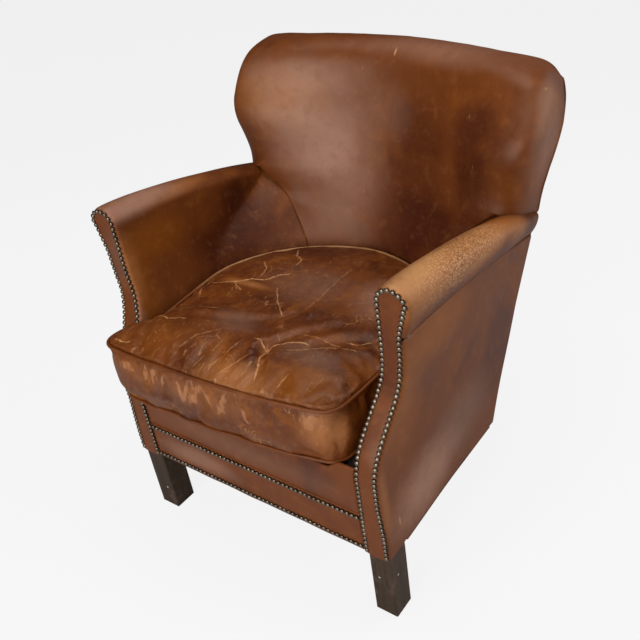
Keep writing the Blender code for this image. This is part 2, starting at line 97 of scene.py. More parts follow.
# Front of the slewed cushion, from right to left, as (x, depth).
CUSHION_FRONT = ((0.2360, 0.2000), (0.2260, 0.1050), (0.2180, 0.0350), (0.2090, 0.0125),
                 (0.1920, 0.0015), (0.1120, -0.0130), (0.0000, -0.0240), (-0.1200, -0.0295),
                 (-0.1950, -0.0315), (-0.2200, -0.0285), (-0.2360, -0.0195), (-0.2415, -0.0050),
                 (-0.2385, 0.0150), (-0.2345, 0.0450), (-0.2330, 0.1100))
FRONT_EDGE = CUSHION_FRONT[11:2:-1]     # from left to right, without its turned ends

# ---- Sizes of the leatherwork ---------------------------------------------------------
LEATHER_THICK = 0.0022
EDGE_WRAP = 0.0080        # radius of the leather where it turns round an arm's front
NAIL_INSET = 0.0060       # from the arm front's edge to its row of nails
WELT_RADIUS = 0.0022
LOWER_NAILS_Z = 0.1630
UPPER_NAILS_Z = 0.2300
SIDES = ((-1, "left"), (1, "right"))


# ---- Small helpers --------------------------------------------------------------------
def smooth(t):
    t = np.clip(t, 0.0, 1.0)
    return t * t * (3.0 - 2.0 * t)


def mix(a, b, t):
    return a + (b - a) * t


def eased(count, crowd):
    """count values from 0 to 1, crowded towards both ends."""
    t = np.linspace(0.0, 1.0, count)
    return mix(t, 0.5 - 0.5 * np.cos(math.pi * t), crowd)


def stack(x, depth, z):
    return np.stack(np.broadcast_arrays(x, depth, z), axis=-1).astype(float)


def mirror(half):
    """A whole row, left to right, from its right half, which starts at the middle."""
    left = half[:0:-1] * np.array((-1.0, 1.0, 1.0))
    return np.concatenate((left, half))


def normals(face):
    """Unit normals at each point of a grid."""
    across = np.gradient(face, axis=1)
    along = np.gradient(face, axis=0)
    normal = np.cross(across, along)
    return normal / np.maximum(np.linalg.norm(normal, axis=2, keepdims=True), 1e-12)


def travelled(face, axis):
    """Distance from each line's first point."""
    step = np.linalg.norm(np.diff(face, axis=axis), axis=2)
    total = np.cumsum(step, axis=axis)
    return np.concatenate((np.zeros_like(np.take(total, [0], axis=axis)), total), axis=axis)


def facing_out(face, spot, axis, sign):
    """1 or -1 to turn a face's normals outwards, which at one spot is this sign of this axis."""
    return sign if normals(face)[spot][axis] > 0 else -sign


def edge_distance(face, edges):
    """Distance along the grid to the nearest of the named edges: start, end, low, high."""
    down, across = travelled(face, 0), travelled(face, 1)
    found = {"low": down, "high": down[-1:] - down, "start": across, "end": across[:, -1:] - across}
    return np.minimum.reduce([found[edge] for edge in edges])


def rolled(face, out, radius, edges):
    """Turn the named edges of a face in towards their seams."""
    t = np.clip(1.0 - edge_distance(face, edges) / radius, 0.0, 1.0)
    sink = radius * (1.0 - np.sqrt(1.0 - t ** 2))
    return face - normals(face) * (out * sink)[..., None]


def relaxed(face, times, axis):
    """Soften the kinks of a grid along one axis, with its two end lines held."""
    face = np.moveaxis(face.copy(), axis, 0)
    for _ in range(times):
        face[1:-1] = 0.25 * face[:-2] + 0.5 * face[1:-1] + 0.25 * face[2:]
    return np.moveaxis(face, 0, axis)


def field(points, scale, shift):
    """Smooth random values, about -1 to 1, at an array of points."""
    flat = points.reshape(-1, 3)
    move = Vector((shift, shift * 0.37, -shift * 0.71))
    values = [noise.noise(Vector(p) * scale + move) for p in flat]
    return np.array(values).reshape(points.shape[:-1])


def uneven(face, out, size, scale, shift):
    """Move a face in and out a little, as padding under leather does."""
    return face + normals(face) * (out * size * field(face, scale, shift))[..., None]


def line_offset(x, y, route):
    """Distance in plan from each point to a route of straight stretches, below zero on its right."""
    found = np.full(np.shape(x), 9.0)
    for (ax, ay), (bx, by) in zip(route, route[1:]):
        dx, dy = bx - ax, by - ay
        t = np.clip(((x - ax) * dx + (y - ay) * dy) / (dx * dx + dy * dy), 0.0, 1.0)
        away = np.hypot(x - ax - dx * t, y - ay - dy * t)
        left = np.where(dx * (y - ay) - dy * (x - ax) > 0.0, 1.0, -1.0)
        found = np.where(away < np.abs(found), away * left, found)
    return found


def store(mesh, attributes):
    """Keep a value for each of a mesh's points under each name, for its finish to read."""
    for key, values in attributes.items():
        layer = mesh.attributes.new(key, "FLOAT", "POINT")
        layer.data.foreach_set("value", np.asarray(values, np.float32).ravel())


def add_mesh(name, points, faces, finish, attributes=None, sharp=50.0):
    """A piece from (x, depth, z) points, closed and with its faces outwards."""
    points = np.asarray(points, float).reshape(-1, 3)
    mesh = bpy.data.meshes.new(name)
    mesh.from_pydata((points + (0.0, FRONT_Y, 0.0)).tolist(), [], faces)
    store(mesh, attributes or {})
    work = bmesh.new()
    work.from_mesh(mesh)
    bmesh.ops.recalc_face_normals(work, faces=work.faces)
    work.to_mesh(mesh)
    work.free()
    mesh.shade_smooth()
    mesh.set_sharp_from_angle(angle=math.radians(sharp))
    mesh.materials.append(finish)
    piece = bpy.data.objects.new(name, mesh)
    bpy.context.scene.collection.objects.link(piece)
    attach(piece, "root")
    return piece


def grid_faces(rows, columns, start=0, closed=False):
    """Four-sided faces over rows of points, with each row closed on itself if asked."""
    index = start + np.arange(rows * columns).reshape(rows, columns)
    if closed:
        index = np.concatenate((index, index[:, :1]), axis=1)
    quads = np.stack((index[:-1, :-1], index[:-1, 1:], index[1:, 1:], index[1:, :-1]), axis=-1)
    return quads.reshape(-1, 4).tolist()


def add_panel(name, face, out, finish, side=1, thick=LEATHER_THICK, attributes=None):
    """A leather panel: the face, a back a skin's thickness behind it, and a closed rim."""
    rows, columns = face.shape[:2]
    back = face - normals(face) * (out * thick)
    count = rows * columns
    faces = grid_faces(rows, columns) + grid_faces(rows, columns, count)
    index = np.arange(count).reshape(rows, columns)
    rim = np.concatenate((index[0, :-1], index[:-1, -1], index[-1, :0:-1], index[:0:-1, 0]))
    for a, b in zip(rim.tolist(), np.roll(rim, -1).tolist()):
        faces.append((a, b, b + count, a + count))
    points = np.concatenate((face.reshape(-1, 3), back.reshape(-1, 3))) * (side, 1.0, 1.0)
    doubled = {key: np.tile(values.ravel(), 2) for key, values in (attributes or {}).items()}
    return add_mesh(name, points, faces, finish, doubled)


def add_tube(name, path, radius, finish, closed, sides=10):
    """A round cord along an array of (x, depth, z) points."""
    if closed:
        along = np.roll(path, -1, axis=0) - np.roll(path, 1, axis=0)
    else:
        along = np.gradient(path, axis=0)
    along /= np.linalg.norm(along, axis=1, keepdims=True)
    up = np.array((0.0, 0.0, 1.0)) if abs(along[:, 2]).mean() < 0.7 else np.array((1.0, 0.0, 0.0))
    across = np.cross(along, up)
    across /= np.linalg.norm(across, axis=1, keepdims=True)
    over = np.cross(across, along)
    turn = np.arange(sides) * 2 * math.pi / sides
    ring = across[:, None] * np.cos(turn)[:, None] + over[:, None] * np.sin(turn)[:, None]
    points = path[:, None] + ring * radius
    rows = len(path)
    faces = grid_faces(rows, sides, closed=True)
    if closed:
        last = (rows - 1) * sides
        faces += [(last + s, last + (s + 1) % sides, (s + 1) % sides, s) for s in range(sides)]
    else:
        faces.append(list(range(sides)))
        faces.append(list(range((rows - 1) * sides, rows * sides)))
    return add_mesh(name, points, faces, finish)


# ---- Shape of the chair ---------------------------------------------------------------
def facing_depth(z):
    """The arm front is flush with the border below and swept back above."""
    return ARM_SET_BACK * smooth((z - 0.315) / 0.185)


def arm_inner_x(z):
    """Inner face of an arm, and the inner half of its roll."""
    round_x = ROLL_X - np.sqrt(np.maximum(ROLL_R ** 2 - (z - ROLL_Z) ** 2, 0.0))
    return np.where(z > ROLL_Z, round_x, SEAT_HALF + 0.027 * smooth((z - 0.35) / 0.19))


def arm_outer_x(z):
    """Outer edge of an arm's front: drawn in above the hem, then flaring out to the roll."""
    waist = 0.295 - 0.006 * smooth((z - 0.19) / 0.10)
    flare = 0.0250 * smooth((z - 0.33) / 0.22)
    lip = 0.0160 * smooth((z - 0.555) / 0.085)
    return waist + flare + lip


def arm_fall(depth):
    """How far the arm's top has fallen at a depth."""
    beyond = np.maximum(depth - ARM_LEVEL, 0.0)
    return ARM_DROP * beyond + ARM_DIP * beyond ** 2


def arm_height(z, depth):
    """Lower a height on the arm by the fall of the arm's top at this depth."""
    return z - arm_fall(depth) * np.clip((z - 0.25) / 0.40, 0.0, 1.0) ** 2.5


def side_x(z):
    """Half width of the back at its rear corners."""
    lower = 0.290 + 0.050 * (np.minimum(z, 0.55) - 0.1515)
    return lower + 0.030 * smooth((z - 0.55) / 0.19) - 0.010 * smooth((z - 0.755) / 0.040)


def corner_depth(z):
    """Depth of the raked rear corners."""
    lift = np.minimum(z, 0.55) - 0.1515
    return 0.385 + 0.280 * lift + 0.240 * lift ** 2 + 0.220 * np.maximum(z - 0.55, 0.0)


def rear_depth(x, z):
    """Outer face of the curved outside back."""
    return corner_depth(z) + REAR_BULGE * (1.0 - (x / side_x(z)) ** 2)


def arm_end_depth(z, room):
    """Where an arm's lines end, a given room short of the rear corner."""
    lowered = arm_height(z, corner_depth(z) - room)
    return corner_depth(lowered) - room


def back_face_depth(z):
    """Middle of the inside back's raked face."""
    return 0.462 + 0.288 * (z - 0.44)


def seat_barrel(z):
    """Half width, middle and forward end of the curve round the back of the seat."""
    forward = 0.250 + 0.200 * smooth((z - 0.44) / 0.145) + 0.288 * np.minimum(z - 0.44, 0.0)
    return arm_inner_x(z), back_face_depth(z), forward


def barrel_point(half, middle, end, angle):
    """A point of the curve round the seat, from its middle at 0 to its forward end."""
    x = half * np.maximum(np.sin(angle), 0.0) ** (2.0 / BARREL_POWER)
    depth = end + (middle - end) * np.maximum(np.cos(angle), 0.0) ** (2.0 / BARREL_POWER)
    return x, depth


def seam_angle(z):
    """Where round the barrel the inside arm meets the inside back."""
    seam_x = 0.145 + 0.125 * np.clip((z - 0.43) / 0.152, 0.0, 1.0) ** 1.6
    return np.arcsin(np.minimum(seam_x / arm_inner_x(z), 1.0) ** (BARREL_POWER / 2.0))


# ---- Shader building ------------------------------------------------------------------
class Signal:
    """A shader socket that is worked with in plain arithmetic."""

    def __init__(self, finish, socket):
        self.finish = finish
        self.socket = socket

    def math(self, operation, first, second):
        return self.finish.node("ShaderNodeMath", {"operation": operation}, {0: first, 1: second})

    def __add__(self, other):
        return self.math("ADD", self, other)

    def __radd__(self, other):
        return self.math("ADD", other, self)

    def __sub__(self, other):
        return self.math("SUBTRACT", self, other)

    def __rsub__(self, other):
        return self.math("SUBTRACT", other, self)

    def __mul__(self, other):
        return self.math("MULTIPLY", self, other)

    def __rmul__(self, other):
        return self.math("MULTIPLY", other, self)


class Nodes:
    """The nodes of a material or a world, written out step by step."""

    def __init__(self, made):
        made.use_nodes = True
        self.made = made
        self.tree = made.node_tree

    def node(self, kind, settings, sockets, output=0):
        """Add a node: its settings first, then a value or a link for each named socket."""
        made = self.tree.nodes.new(kind)
        for key, value in settings.items():
            setattr(made, key, value)
        for key, value in sockets.items():
            self.connect(made.inputs[key], value)
        return Signal(self, made.outputs[output])

    def connect(self, socket, value):
        if isinstance(value, Signal):
            self.tree.links.new(value.socket, socket)
        else:
            socket.default_value = value

    def show(self, output, join):
        """Send a shader to the surface."""
        self.connect(self.tree.nodes[output].inputs["Surface"], join)


class Finish(Nodes):
    """A material built on one principled shader."""

    def __init__(self, name):
        super().__init__(bpy.data.materials.new(name))
        self.shader = self.tree.nodes["Principled BSDF"]
        self.place = self.node("ShaderNodeTexCoord", {}, {}, "Object")

    def set(self, name, value):
        self.connect(self.shader.inputs[name], value)

    def noise(self, scale, detail=3.0, rough=0.5, place=None, warp=0.0, output=0):
        sockets = {"Vector": place or self.place, "Scale": scale, "Detail": detail,
                   "Roughness": rough, "Distortion": warp}
        return self.node("ShaderNodeTexNoise", {"noise_dimensions": "3D"}, sockets, output)

    def cells(self, scale, place=None):
        """Distance to the nearest edge between irregular cells."""
        sockets = {"Vector": place or self.place, "Scale": scale}
        return self.node("ShaderNodeTexVoronoi", {"feature": "DISTANCE_TO_EDGE"}, sockets, "Distance")

    def stretched(self, x, y, z):
        """The place on the piece, scaled along each axis."""
        sockets = {0: self.place, 1: (x, y, z)}
        return self.node("ShaderNodeVectorMath", {"operation": "MULTIPLY"}, sockets)

    def band(self, signal, low, high):
        """The signal mapped smoothly from 0 at low to 1 at high."""
        sockets = {"Value": signal, "From Min": low, "From Max": high}
        return self.node("ShaderNodeMapRange", {"interpolation_type": "SMOOTHSTEP"}, sockets)

    def blend(self, first, second, share):
        """One colour turned into another by a share."""
        first, second = (c if isinstance(c, Signal) else (*c, 1.0) for c in (first, second))
        return self.node("ShaderNodeMix", {"data_type": "RGBA"}, {0: share, 6: first, 7: second}, 2)

    def near(self, centre, size, ragged):
        """1 at a place on the chair, fading raggedly to 0 at the given sizes from it."""
        x, depth, z = centre
        moved = self.node("ShaderNodeVectorMath", {"operation": "SUBTRACT"},
                          {0: self.place, 1: (x, FRONT_Y + depth, z)})
        scaled = self.node("ShaderNodeVectorMath", {"operation": "MULTIPLY"},
                           {0: moved, 1: tuple(1.0 / s for s in size)})
        away = self.node("ShaderNodeVectorMath", {"operation": "LENGTH"}, {0: scaled}, "Value")
        return self.band(away + (ragged - 0.5) * 0.9, 1.0, 0.15)

    def tinted(self, shade, places, ragged):
        """The shade, with each (colour name, centre, size, strength) laid over it in turn."""
        colours = bpy.context.scene.chair_colours
        for colour, centre, size, strength in places:
            shade = self.blend(shade, getattr(colours, colour), self.near(centre, size, ragged) * strength)
        return shade

    def stored(self, name):
        return self.node("ShaderNodeAttribute", {"attribute_name": name}, {}, "Fac")

    def bump(self, height, strength, distance):
        sockets = {"Strength": strength, "Distance": distance, "Height": height}
        self.set("Normal", self.node("ShaderNodeBump", {}, sockets))

    def waxed(self):
        """The low, warm shine of waxed leather."""
        self.set("Specular IOR Level", 0.36)
        self.set("Specular Tint", (1.0, 0.80, 0.66, 1.0))


def srgb(red, green, blue):
    """A colour given as 0-255 screen values, as the shader's linear values."""
    def linear(value):
        value /= 255.0
        return value / 12.92 if value <= 0.04045 else ((value + 0.055) / 1.055) ** 2.4
    return tuple(linear(value) for value in (red, green, blue))


# ---- Properties -----------------------------------------------------------------------
def colour(name, description, *screen):
    return bpy.props.FloatVectorProperty(name=name, description=description, subtype="COLOR",
                                         size=3, default=srgb(*screen))


def length(name, description, metres):
    return bpy.props.FloatProperty(name=name, description=description, unit="LENGTH", default=metres)


class ChairColours(bpy.types.PropertyGroup):
    """Colours of the finishes."""
    # Deep leather is also laid on as painted shade over the lower middle and right of the inside back.
    deep: colour("Deep leather", "Leather where it has darkened to maroon", 58, 16, 7)
    body: colour("Leather", "Main colour of the leather", 108, 54, 18)
    warm: colour("Warm leather", "Leather where it shows amber", 138, 75, 16)
    # Tan leather is also laid on as a painted highlight along the right wing's edge and on the left arm's
    # turned front, and partly along the right arm's top.
    tan: colour("Tan leather", "Leather rubbed down to tan", 190, 124, 72)
    # Pale wear is also laid on as a painted highlight along the cushion piping's rear and left.
    pale: colour("Pale wear", "Cracks and scratches down to the raw hide", 222, 170, 114)
    # Greyed leather is also laid on as painted sheen on the cushion's top and low on the right arm's
    # outside.
    grey: colour("Greyed leather", "Leather dulled to a purple grey", 122, 86, 68)
    # Dusty leather is also laid on as painted sheen on the inside back, its crest, the left arm's top, the
    # right arm's outside and the cushion's top, and as a painted highlight on the left arm's turned front.
    dusty_and_sheen: colour("Dusty leather", "Leather worn to a soft pink grey", 166, 122, 100)
    brass: colour("Nail metal", "Antique bronze of the nailheads", 140, 126, 110)
    leg: colour("Leg", "Dark stain of the legs", 60, 42, 27)


class ChairSizes(bpy.types.PropertyGroup):
    """Sizes of the small work."""
    nail_width: length("Nailhead width", "Diameter of a nailhead", 0.0094)
    nail_pitch: length("Nail spacing", "From the middle of one nailhead to the next", 0.0097)
    piping: length("Piping radius", "Radius of the cushion's piping", 0.0031)
    stitch: length("Stitch length", "Length of a hand stitch down the back's edges", 0.0070)


# ---- Finishes -------------------------------------------------------------------------
def leather(name, places, depth_of_tone, grain, gloss=0.36, worn=0.35):
    """Aniline leather: drifting tone, places of other tone and of painted sheen, highlight and shade, fine
    grain and scratches.
    """
    found = bpy.data.materials.get(name)
    if found:
        return found
    colours = bpy.context.scene.chair_colours
    f = Finish(name)
    drift = f.noise(5.5, 5.0, 0.55, warp=0.6)
    cloud = f.noise(17.0, 5.0, 0.6, warp=0.3)
    fine = f.noise(120.0, 4.0, 0.65)
    tone = drift * 0.65 + cloud * 0.35
    shade = f.blend(colours.deep, colours.body, f.band(tone, depth_of_tone - 0.22, depth_of_tone + 0.08))
    shade = f.blend(shade, colours.warm, f.band(cloud, 0.52, 0.80) * 0.42)
    shade = f.tinted(shade, places, drift * 0.75 + cloud * 0.25)
    mottle = f.noise(42.0, 5.0, 0.62, warp=0.4)
    shade = f.blend(shade, colours.body, f.band(mottle, 0.48, 0.72) * 0.26)
    shade = f.blend(shade, colours.tan, f.band(mottle, 0.50, 0.28) * 0.09)
    shade = f.blend(shade, colours.deep, f.band(fine, 0.56, 0.78) * 0.22)
    shade = f.blend(shade, colours.tan, f.band(fine, 0.58, 0.80) * f.band(cloud, 0.45, 0.7) * worn)
    scratch = f.noise(4.0, 2.0, place=f.stretched(55.0, 55.0, 7.0))
    sparse = f.band(f.noise(9.0, 2.0, 0.5), 0.60, 0.72)
    shade = f.blend(shade, colours.pale, f.band(scratch, 0.735, 0.76) * sparse * worn)
    f.set("Base Color", shade)
    f.set("Roughness", gloss + cloud * 0.12 + fine * 0.06)
    f.waxed()
    aside = f.node("ShaderNodeVectorMath", {"operation": "ADD"}, {0: f.place, 1: (0.3, 0.1, 0.2)})
    height = f.band(f.cells(620.0), 0.0, 0.22) * 0.25 + f.band(f.cells(95.0, aside), 0.0, 0.05) * 0.20
    height = height + fine * 0.5 + cloud * 0.6
    f.bump(height, 0.35 * grain, 0.0006)
    return f.made


def facing_leather():
    """The leather shared by the arm fronts and the border."""
    return leather("facing_leather", FACING_PLACES, 0.46, 0.7)


# Places of other tone, and of painted sheen, painted highlight and painted shade, as (colour name, centre,
# size, strength), each centre as (x, depth, z).
BACK_PLACES = (
    ("tan", (-0.230, 0.50, 0.720), (0.140, 0.12, 0.090), 0.40),
    # These three dusty places are painted sheen over the back's left half.
    ("dusty_and_sheen", (-0.190, 0.53, 0.755), (0.190, 0.12, 0.060), 0.50),
    ("dusty_and_sheen", (-0.150, 0.50, 0.640), (0.160, 0.12, 0.140), 0.75),
    ("dusty_and_sheen", (-0.070, 0.48, 0.560), (0.110, 0.12, 0.120), 0.35),
    # These four deep places are painted shade over the back's lower middle and right.
    ("deep", (0.110, 0.48, 0.520), (0.190, 0.14, 0.150), 0.85),
    ("deep", (0.080, 0.52, 0.670), (0.110, 0.10, 0.110), 0.50),
    ("deep", (0.215, 0.50, 0.700), (0.090, 0.10, 0.085), 0.70),
    ("deep", (0.235, 0.48, 0.620), (0.060, 0.10, 0.160), 0.55),
    # Painted sheen along the crest.
    ("dusty_and_sheen", (0.120, 0.58, 0.815), (0.260, 0.10, 0.035), 0.40),
    # These two places are a painted highlight along the right wing's edge.
    ("tan", (0.325, 0.52, 0.760), (0.060, 0.06, 0.050), 0.20),
    ("dusty_and_sheen", (0.330, 0.52, 0.700), (0.034, 0.08, 0.110), 0.36),
    ("warm", (0.290, 0.50, 0.640), (0.060, 0.10, 0.080), 0.40),
    ("deep", (-0.290, 0.46, 0.610), (0.050, 0.05, 0.080), 0.55),
    ("dusty_and_sheen", (0.000, 0.54, 0.700), (0.080, 0.10, 0.080), 0.20),
    ("pale", (0.002, 0.575, 0.806), (0.004, 0.02, 0.010), 0.70),
    ("pale", (-0.150, 0.490, 0.600), (0.003, 0.02, 0.012), 0.45),
    ("pale", (0.335, 0.520, 0.788), (0.009, 0.01, 0.004), 0.60),
)
REAR_PLACES = (
    ("grey", (0.0, 0.50, 0.450), (0.30, 0.20, 0.250), 0.45),
    ("deep", (0.0, 0.45, 0.200), (0.35, 0.20, 0.080), 0.40),
    ("warm", (-0.15, 0.53, 0.680), (0.15, 0.20, 0.100), 0.35),
)
LEFT_ARM_PLACES = (
    ("warm", (-0.270, 0.140, 0.560), (0.06, 0.120, 0.070), 0.80),
    ("warm", (-0.262, 0.070, 0.480), (0.06, 0.070, 0.110), 0.60),
    # Painted sheen along the arm's top.
    ("dusty_and_sheen", (-0.285, 0.150, 0.640), (0.06, 0.200, 0.030), 0.80),
    ("tan", (-0.285, 0.240, 0.622), (0.06, 0.120, 0.018), 0.35),
    ("deep", (-0.262, 0.280, 0.480), (0.09, 0.110, 0.080), 0.75),
    ("deep", (-0.265, 0.350, 0.555), (0.09, 0.050, 0.050), 0.45),
    ("deep", (-0.250, 0.350, 0.510), (0.09, 0.090, 0.090), 0.75),
    # These two places are a painted highlight on the leather turned round the arm's front.
    ("dusty_and_sheen", (-0.262, 0.050, 0.500), (0.06, 0.030, 0.150), 0.65),
    ("tan", (-0.270, 0.065, 0.530), (0.06, 0.045, 0.100), 0.50),
)
RIGHT_ARM_PLACES = (
    # These three tan places are tan wear along the arm's top with a painted highlight laid into them.
    ("tan", (0.315, 0.150, 0.630), (0.05, 0.190, 0.050), 0.92),
    ("tan", (0.315, 0.320, 0.605), (0.05, 0.150, 0.045), 0.75),
    ("tan", (0.325, 0.430, 0.585), (0.04, 0.060, 0.050), 0.45),
    ("warm", (0.300, 0.400, 0.590), (0.03, 0.080, 0.030), 0.50),
    ("deep", (0.262, 0.280, 0.480), (0.09, 0.130, 0.090), 0.80),
    ("warm", (0.325, 0.080, 0.600), (0.03, 0.030, 0.040), 0.50),
    ("pale", (0.310, 0.150, 0.650), (0.04, 0.180, 0.030), 0.40),
)
OUTSIDE_PLACES = (
    ("warm", (0.300, 0.060, 0.440), (0.06, 0.080, 0.180), 0.85),
    ("warm", (0.310, 0.160, 0.520), (0.06, 0.150, 0.070), 0.90),
    # This grey place and the dusty one after it are painted sheen low on the right arm's outside.
    ("grey", (0.300, 0.240, 0.260), (0.06, 0.150, 0.110), 0.70),
    ("dusty_and_sheen", (0.300, 0.120, 0.220), (0.06, 0.150, 0.100), 0.80),
    ("deep", (0.300, 0.400, 0.340), (0.05, 0.080, 0.160), 0.55),
    ("tan", (0.292, 0.012, 0.280), (0.03, 0.020, 0.120), 0.30),
    ("pale", (0.300, 0.040, 0.212), (0.02, 0.004, 0.016), 0.60),
    ("warm", (-0.300, 0.080, 0.400), (0.06, 0.120, 0.190), 0.60),
    ("grey", (-0.300, 0.300, 0.300), (0.06, 0.150, 0.150), 0.70),
)
FACING_PLACES = (
    ("deep", (0.290, 0.05, 0.560), (0.03, 0.05, 0.060), 0.35),
    ("grey", (0.285, 0.02, 0.370), (0.03, 0.05, 0.035), 0.55),
    ("grey", (-0.285, 0.06, 0.560), (0.03, 0.05, 0.080), 0.40),
    ("grey", (0.0, 0.0, 0.275), (0.30, 0.05, 0.045), 0.45),
    ("deep", (0.060, 0.0, 0.300), (0.20, 0.05, 0.040), 0.30),
    ("dusty_and_sheen", (-0.13, 0.0, 0.195), (0.13, 0.05, 0.035), 0.50),
)
CUSHION_PLACES = (
    ("warm", (-0.170, 0.030, 0.450), (0.100, 0.090, 0.05), 0.42),
    ("tan", (0.030, -0.004, 0.444), (0.110, 0.045, 0.03), 0.48),
    ("deep", (0.155, 0.035, 0.452), (0.060, 0.050, 0.03), 0.40),
    ("warm", (0.140, 0.030, 0.450), (0.090, 0.060, 0.04), 0.60),
    # These three grey places are painted sheen on the top.
    ("grey", (-0.060, 0.100, 0.464), (0.070, 0.040, 0.04), 0.65),
    ("grey", (0.120, 0.080, 0.460), (0.080, 0.035, 0.04), 0.60),
    ("grey", (-0.010, 0.250, 0.464), (0.130, 0.090, 0.04), 0.60),
    ("deep", (-0.080, 0.370, 0.455), (0.150, 0.080, 0.04), 0.70),
    ("deep", (-0.180, 0.060, 0.453), (0.070, 0.055, 0.04), 0.50),
    ("deep", (0.080, 0.160, 0.462), (0.110, 0.045, 0.04), 0.60),
    ("deep", (-0.060, 0.170, 0.464), (0.090, 0.040, 0.04), 0.45),
    ("tan", (-0.125, 0.205, 0.464), (0.080, 0.016, 0.03), 0.55),
    # Painted sheen on the top.
    ("dusty_and_sheen", (0.140, 0.270, 0.464), (0.090, 0.090, 0.04), 0.55),
    ("grey", (-0.150, -0.03, 0.345), (0.090, 0.05, 0.020), 0.60),
    ("tan", (0.190, 0.010, 0.390), (0.060, 0.05, 0.060), 0.60),
    ("tan", (-0.060, -0.03, 0.400), (0.220, 0.05, 0.045), 0.22),
    ("warm", (-0.200, -0.03, 0.410), (0.070, 0.05, 0.030), 0.60),
    ("grey", (0.060, -0.02, 0.345), (0.110, 0.05, 0.018), 0.45),
)
# A painted highlight along the piping at the cushion's rear and left.
PIPING_HIGHLIGHT_PLACES = (("pale", (-0.060, 0.290, 0.440), (0.260, 0.250, 0.060), 0.80),)


def seat_leather(places):
    """The cushion's leather, cracked pale along its folds, rubbed at its front, and with painted sheen in
    places on its top.
    """
    colours = bpy.context.scene.chair_colours
    f = Finish("cushion_leather")
    drift = f.noise(7.0, 6.0, 0.6, warp=0.9)
    cloud = f.noise(21.0, 6.0, 0.62, warp=0.5)
    fine = f.noise(140.0, 4.0, 0.65)
    tone = drift * 0.6 + cloud * 0.4
    shade = f.blend(colours.deep, colours.body, f.band(tone, 0.30, 0.56))
    shade = f.blend(shade, colours.warm, f.band(cloud, 0.50, 0.74) * 0.70)
    shade = f.tinted(shade, places, drift * 0.5 + cloud * 0.5)
    mottle = f.noise(60.0, 6.0, 0.72, warp=0.4)
    shade = f.blend(shade, colours.deep, f.band(mottle, 0.50, 0.74) * 0.18)
    shade = f.blend(shade, colours.tan, f.band(mottle, 0.50, 0.28) * 0.18)
    shade = f.blend(shade, colours.deep, f.band(fine, 0.55, 0.78) * 0.25)
    brushed = f.noise(1.6, 4.0, 0.65, place=f.stretched(110.0, 60.0, 34.0), warp=0.5)
    rubbed = f.band(f.stored("rubbed") + (brushed - 0.5) * 2.4 - 0.1, 0.30, 0.85)
    shade = f.blend(shade, f.blend(colours.dusty_and_sheen, colours.tan, 0.65), rubbed * 0.62)
    offset = f.stored("crack") + (fine - 0.5) * 0.0060 + (cloud - 0.5) * 0.0110
    crack = offset.math("ABSOLUTE", offset, 0.0)
    cracked = f.stored("cracked")
    halo = f.band(crack, 0.0040, 0.0004) * cracked
    line = f.band(crack, 0.0012, 0.0005) * cracked * f.band(f.noise(75.0, 3.0, 0.7), 0.38, 0.50)
    shade = f.blend(shade, colours.tan, halo * f.band(cloud, 0.40, 0.62) * 0.30)
    shade = f.blend(shade, colours.pale, line * 0.80)
    shift = f.noise(26.0, 4.0, output="Color")
    bent = f.node("ShaderNodeVectorMath", {"operation": "MULTIPLY_ADD"},
                  {0: shift, 1: (0.030, 0.030, 0.030), 2: f.place})
    web = f.band(f.cells(34.0, bent), 0.016, 0.004) * f.band(f.noise(13.0, 3.0, 0.6), 0.52, 0.62)
    shade = f.blend(shade, colours.pale, web * f.band(f.noise(90.0, 2.0, 0.5), 0.40, 0.58) * 0.55)
    streak = f.noise(4.5, 4.0, place=f.stretched(30.0, 9.0, 9.0), warp=0.8)
    shade = f.blend(shade, colours.tan, f.band(streak, 0.62, 0.78) * 0.45)
    lean = f.noise(2.0, 3.0, place=f.stretched(92.0, 20.0, 40.0), warp=0.8)
    front = f.near((-0.020, 0.010, 0.446), (0.200, 0.075, 0.05), cloud)
    shade = f.blend(shade, colours.pale, f.band(lean, 0.60, 0.72) * front * 0.42)
    hair = f.noise(5.0, 2.0, place=f.stretched(60.0, 14.0, 24.0), warp=1.0)
    shade = f.blend(shade, colours.pale, f.band(hair, 0.70, 0.73) * f.band(drift, 0.45, 0.62) * 0.5)
    f.set("Base Color", shade)
    f.set("Roughness", 0.32 + cloud * 0.14 + line * 0.2)
    f.waxed()
    height = fine * 0.5 + cloud * 1.2 + f.band(f.cells(70.0), 0.0, 0.06) * 0.35
    height = height + f.band(f.cells(560.0), 0.0, 0.22) * 0.2 - line * 0.6
    f.bump(height, 0.45, 0.0008)
    return f.made


